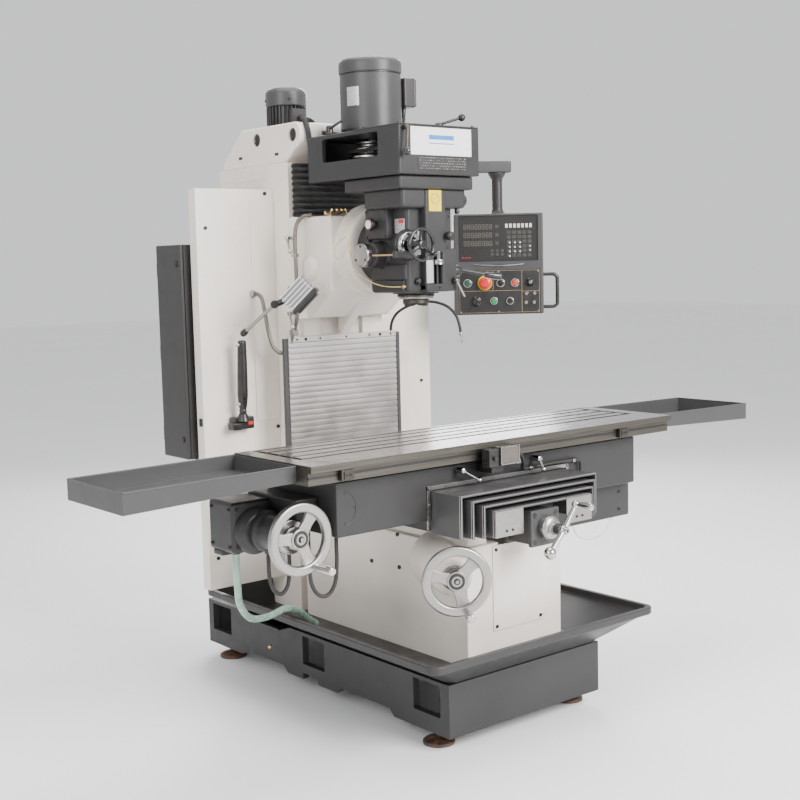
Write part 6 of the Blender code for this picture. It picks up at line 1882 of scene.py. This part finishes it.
def make_coolant():
    route = ((0.267, 0.98, 1.1754), (0.267, 0.978, 1.21), (0.266, 0.965, 1.25), (0.27, 0.93, 1.285),
             (0.288, 0.87, 1.312), (0.312, 0.8, 1.322), (0.335, 0.74, 1.308), (0.348, 0.7, 1.275),
             (0.352, 0.682, 1.232), (0.352, 0.676, 1.2))
    neck = Piece("coolant_gooseneck_finish", "machine", rubber)
    neck.tube(route, 0.005, sides=14, ribs=0.0007, pitch=0.0042)
    neck.done("coolant_gooseneck", angle=60.0)
    nozzle = Piece("coolant_nozzle", "machine", chrome)
    nozzle.lathe((0.352, 0.6755, 1.2), [(0, 0.03), (0.0024, 0.03), (0.003, 0.018), (0.0052, 0.006),
                                        (0.0062, 0.0),
                                          (0.0062, -0.01), (0, -0.01)], (0.05, -0.12, -1), 28, 0.0006)
    nozzle.done()
    valve = Piece("coolant_valve", "machine", grey_light)
    valve.box((0.25, 0.965, 1.108), (0.283, 1.0446, 1.172), 0.004, 3)
    valve.done()
    parts = Piece("coolant_valve_fittings", "machine", brass)
    parts.lathe((0.267, 0.98, 1.1715), [(0.0, 0.018), (0.0058, 0.018), (0.0072, 0.01), (0.0086, 0.006),
                                        (0.0086, 0.0),
                                         (0, 0.0)], Z, 24)
    parts.lathe((0.264, 0.985, 1.1085), [(0, 0.024), (0.0062, 0.024), (0.0075, 0.014), (0.009, 0.008),
                                         (0.009, 0.0),
                                         (0, 0.0)], -Z, 24)
    parts.done()
    lever = Piece("coolant_valve_lever", "machine", red)
    lever.box((0.253, 0.956, 1.1735), (0.286, 0.972, 1.179), 0.002, 3)
    lever.done()
    screws = Piece("coolant_valve_screws", "machine", black)
    for x, z in ((0.258, 1.14), (0.275, 1.142)):
        screws.socket_screw((x, 0.965, z), -Y, 0.0035, 0.0016)
    screws.done()
    hose = Piece("coolant_supply_hose", "machine", hose_look)
    hose.tube(((0.264, 0.985, 1.086), (0.265, 0.982, 1.05), (0.266, 0.984, 1.01), (0.262, 0.998, 0.97),
               (0.256, 1.02, 0.945), (0.254, 1.0446, 0.938)), 0.0062, step=0.006, sides=16)
    hose.done()


# ---------------------------------------------------------------- making everything
make_base()
make_column()
make_lift_motor()
make_bellows()
make_apron()
make_saddle()
make_x_drive()
handwheel("x_handwheel_finish", "x_wheel", (-0.752, 0.132, 0.702), (0, -1, 0), -65, "x_handwheel", alloy,
          black)
z_axis = Vector((-math.sin(math.radians(31)), -math.cos(math.radians(31)), 0))
z_wheel = Vector((-0.31, -0.025, 0.531))
handwheel("z_handwheel_finish", "z_wheel", z_wheel, z_axis, -75, "z_handwheel", alloy, black)
housing = Piece("z_drive_housing_finish", "machine", white_cast)
housing.lathe(z_wheel - z_axis * 0.145, [(0, 0.099), (0.04, 0.099), (0.05, 0.094), (0.06, 0.084),
                                         (0.062, 0.07),
              (0.068, 0.02), (0.078, -0.05), (0.086, -0.1), (0.098, -0.15), (0, -0.15)], z_axis, 96, 0.004)
housing.done("z_drive_housing")
dial = Piece("z_dial", "machine", steel)
dial.lathe(z_wheel - z_axis * 0.044, [(0, 0.004), (0.034, 0.004), (0.038, 0.0), (0.038, -0.008), (0, -0.008)],
           z_axis, 64, 0.0008)
dial.done()
make_covers()
make_crank()
make_table()
make_carriage()
make_head()
make_drive()
make_quill()
make_head_controls()
make_pendant()
make_lamp()
make_coolant()


# ---------------------------------------------------------------- studio
def make_studio():
    floor_look = Look("studio floor", 0.55)
    floor_look.colour(floor_look.ramp(floor_look.noise(0.6, 3.0), [(0.3, (0.9, 0.9, 0.9)),
                                                                (0.7, (0.93, 0.93, 0.93))]))
    floor_look.bump(floor_look.noise(120.0, 2.0), 0.02, 0.0005)
    mesh = bpy.data.meshes.new("studio_floor")
    size = 30.0
    mesh.from_pydata([(-size, -size, 0), (size, -size, 0), (size, size, 0), (-size, size, 0)], [],
                     [(0, 1, 2, 3)])
    floor = bpy.data.objects.new("studio_floor", mesh)
    floor.location.z = -0.0005
    mesh.materials.append(floor_look.mat)
    bpy.context.scene.collection.objects.link(floor)
    world = bpy.data.worlds.new("studio")
    world.use_nodes = True
    background = world.node_tree.nodes["Background"]
    background.inputs["Color"].default_value = (0.97, 0.98, 1.0, 1.0)
    background.inputs["Strength"].default_value = 0.95
    bpy.context.scene.world = world
    for name, place, target, size, power in (
            ("key", (0.9, -4.8, 3.3), (0, -0.2, 1.0), 2.6, 560.0),
            ("left", (-4.4, -1.4, 2.8), (0, 0, 1.1), 2.4, 110.0),
            ("top", (0.2, 0.2, 4.6), (0, 0, 0.8), 3.0, 130.0),
            ("back", (2.6, 3.4, 2.8), (0, 0, 1.2), 2.4, 170.0)):
        data = bpy.data.lights.new(name, "AREA")
        data.shape = "SQUARE"
        data.size = size
        data.energy = power
        light = bpy.data.objects.new(name, data)
        light.location = place
        light.rotation_euler = (Vector(target) - Vector(place)).to_track_quat("-Z", "Y").to_euler()
        bpy.context.scene.collection.objects.link(light)


make_studio()
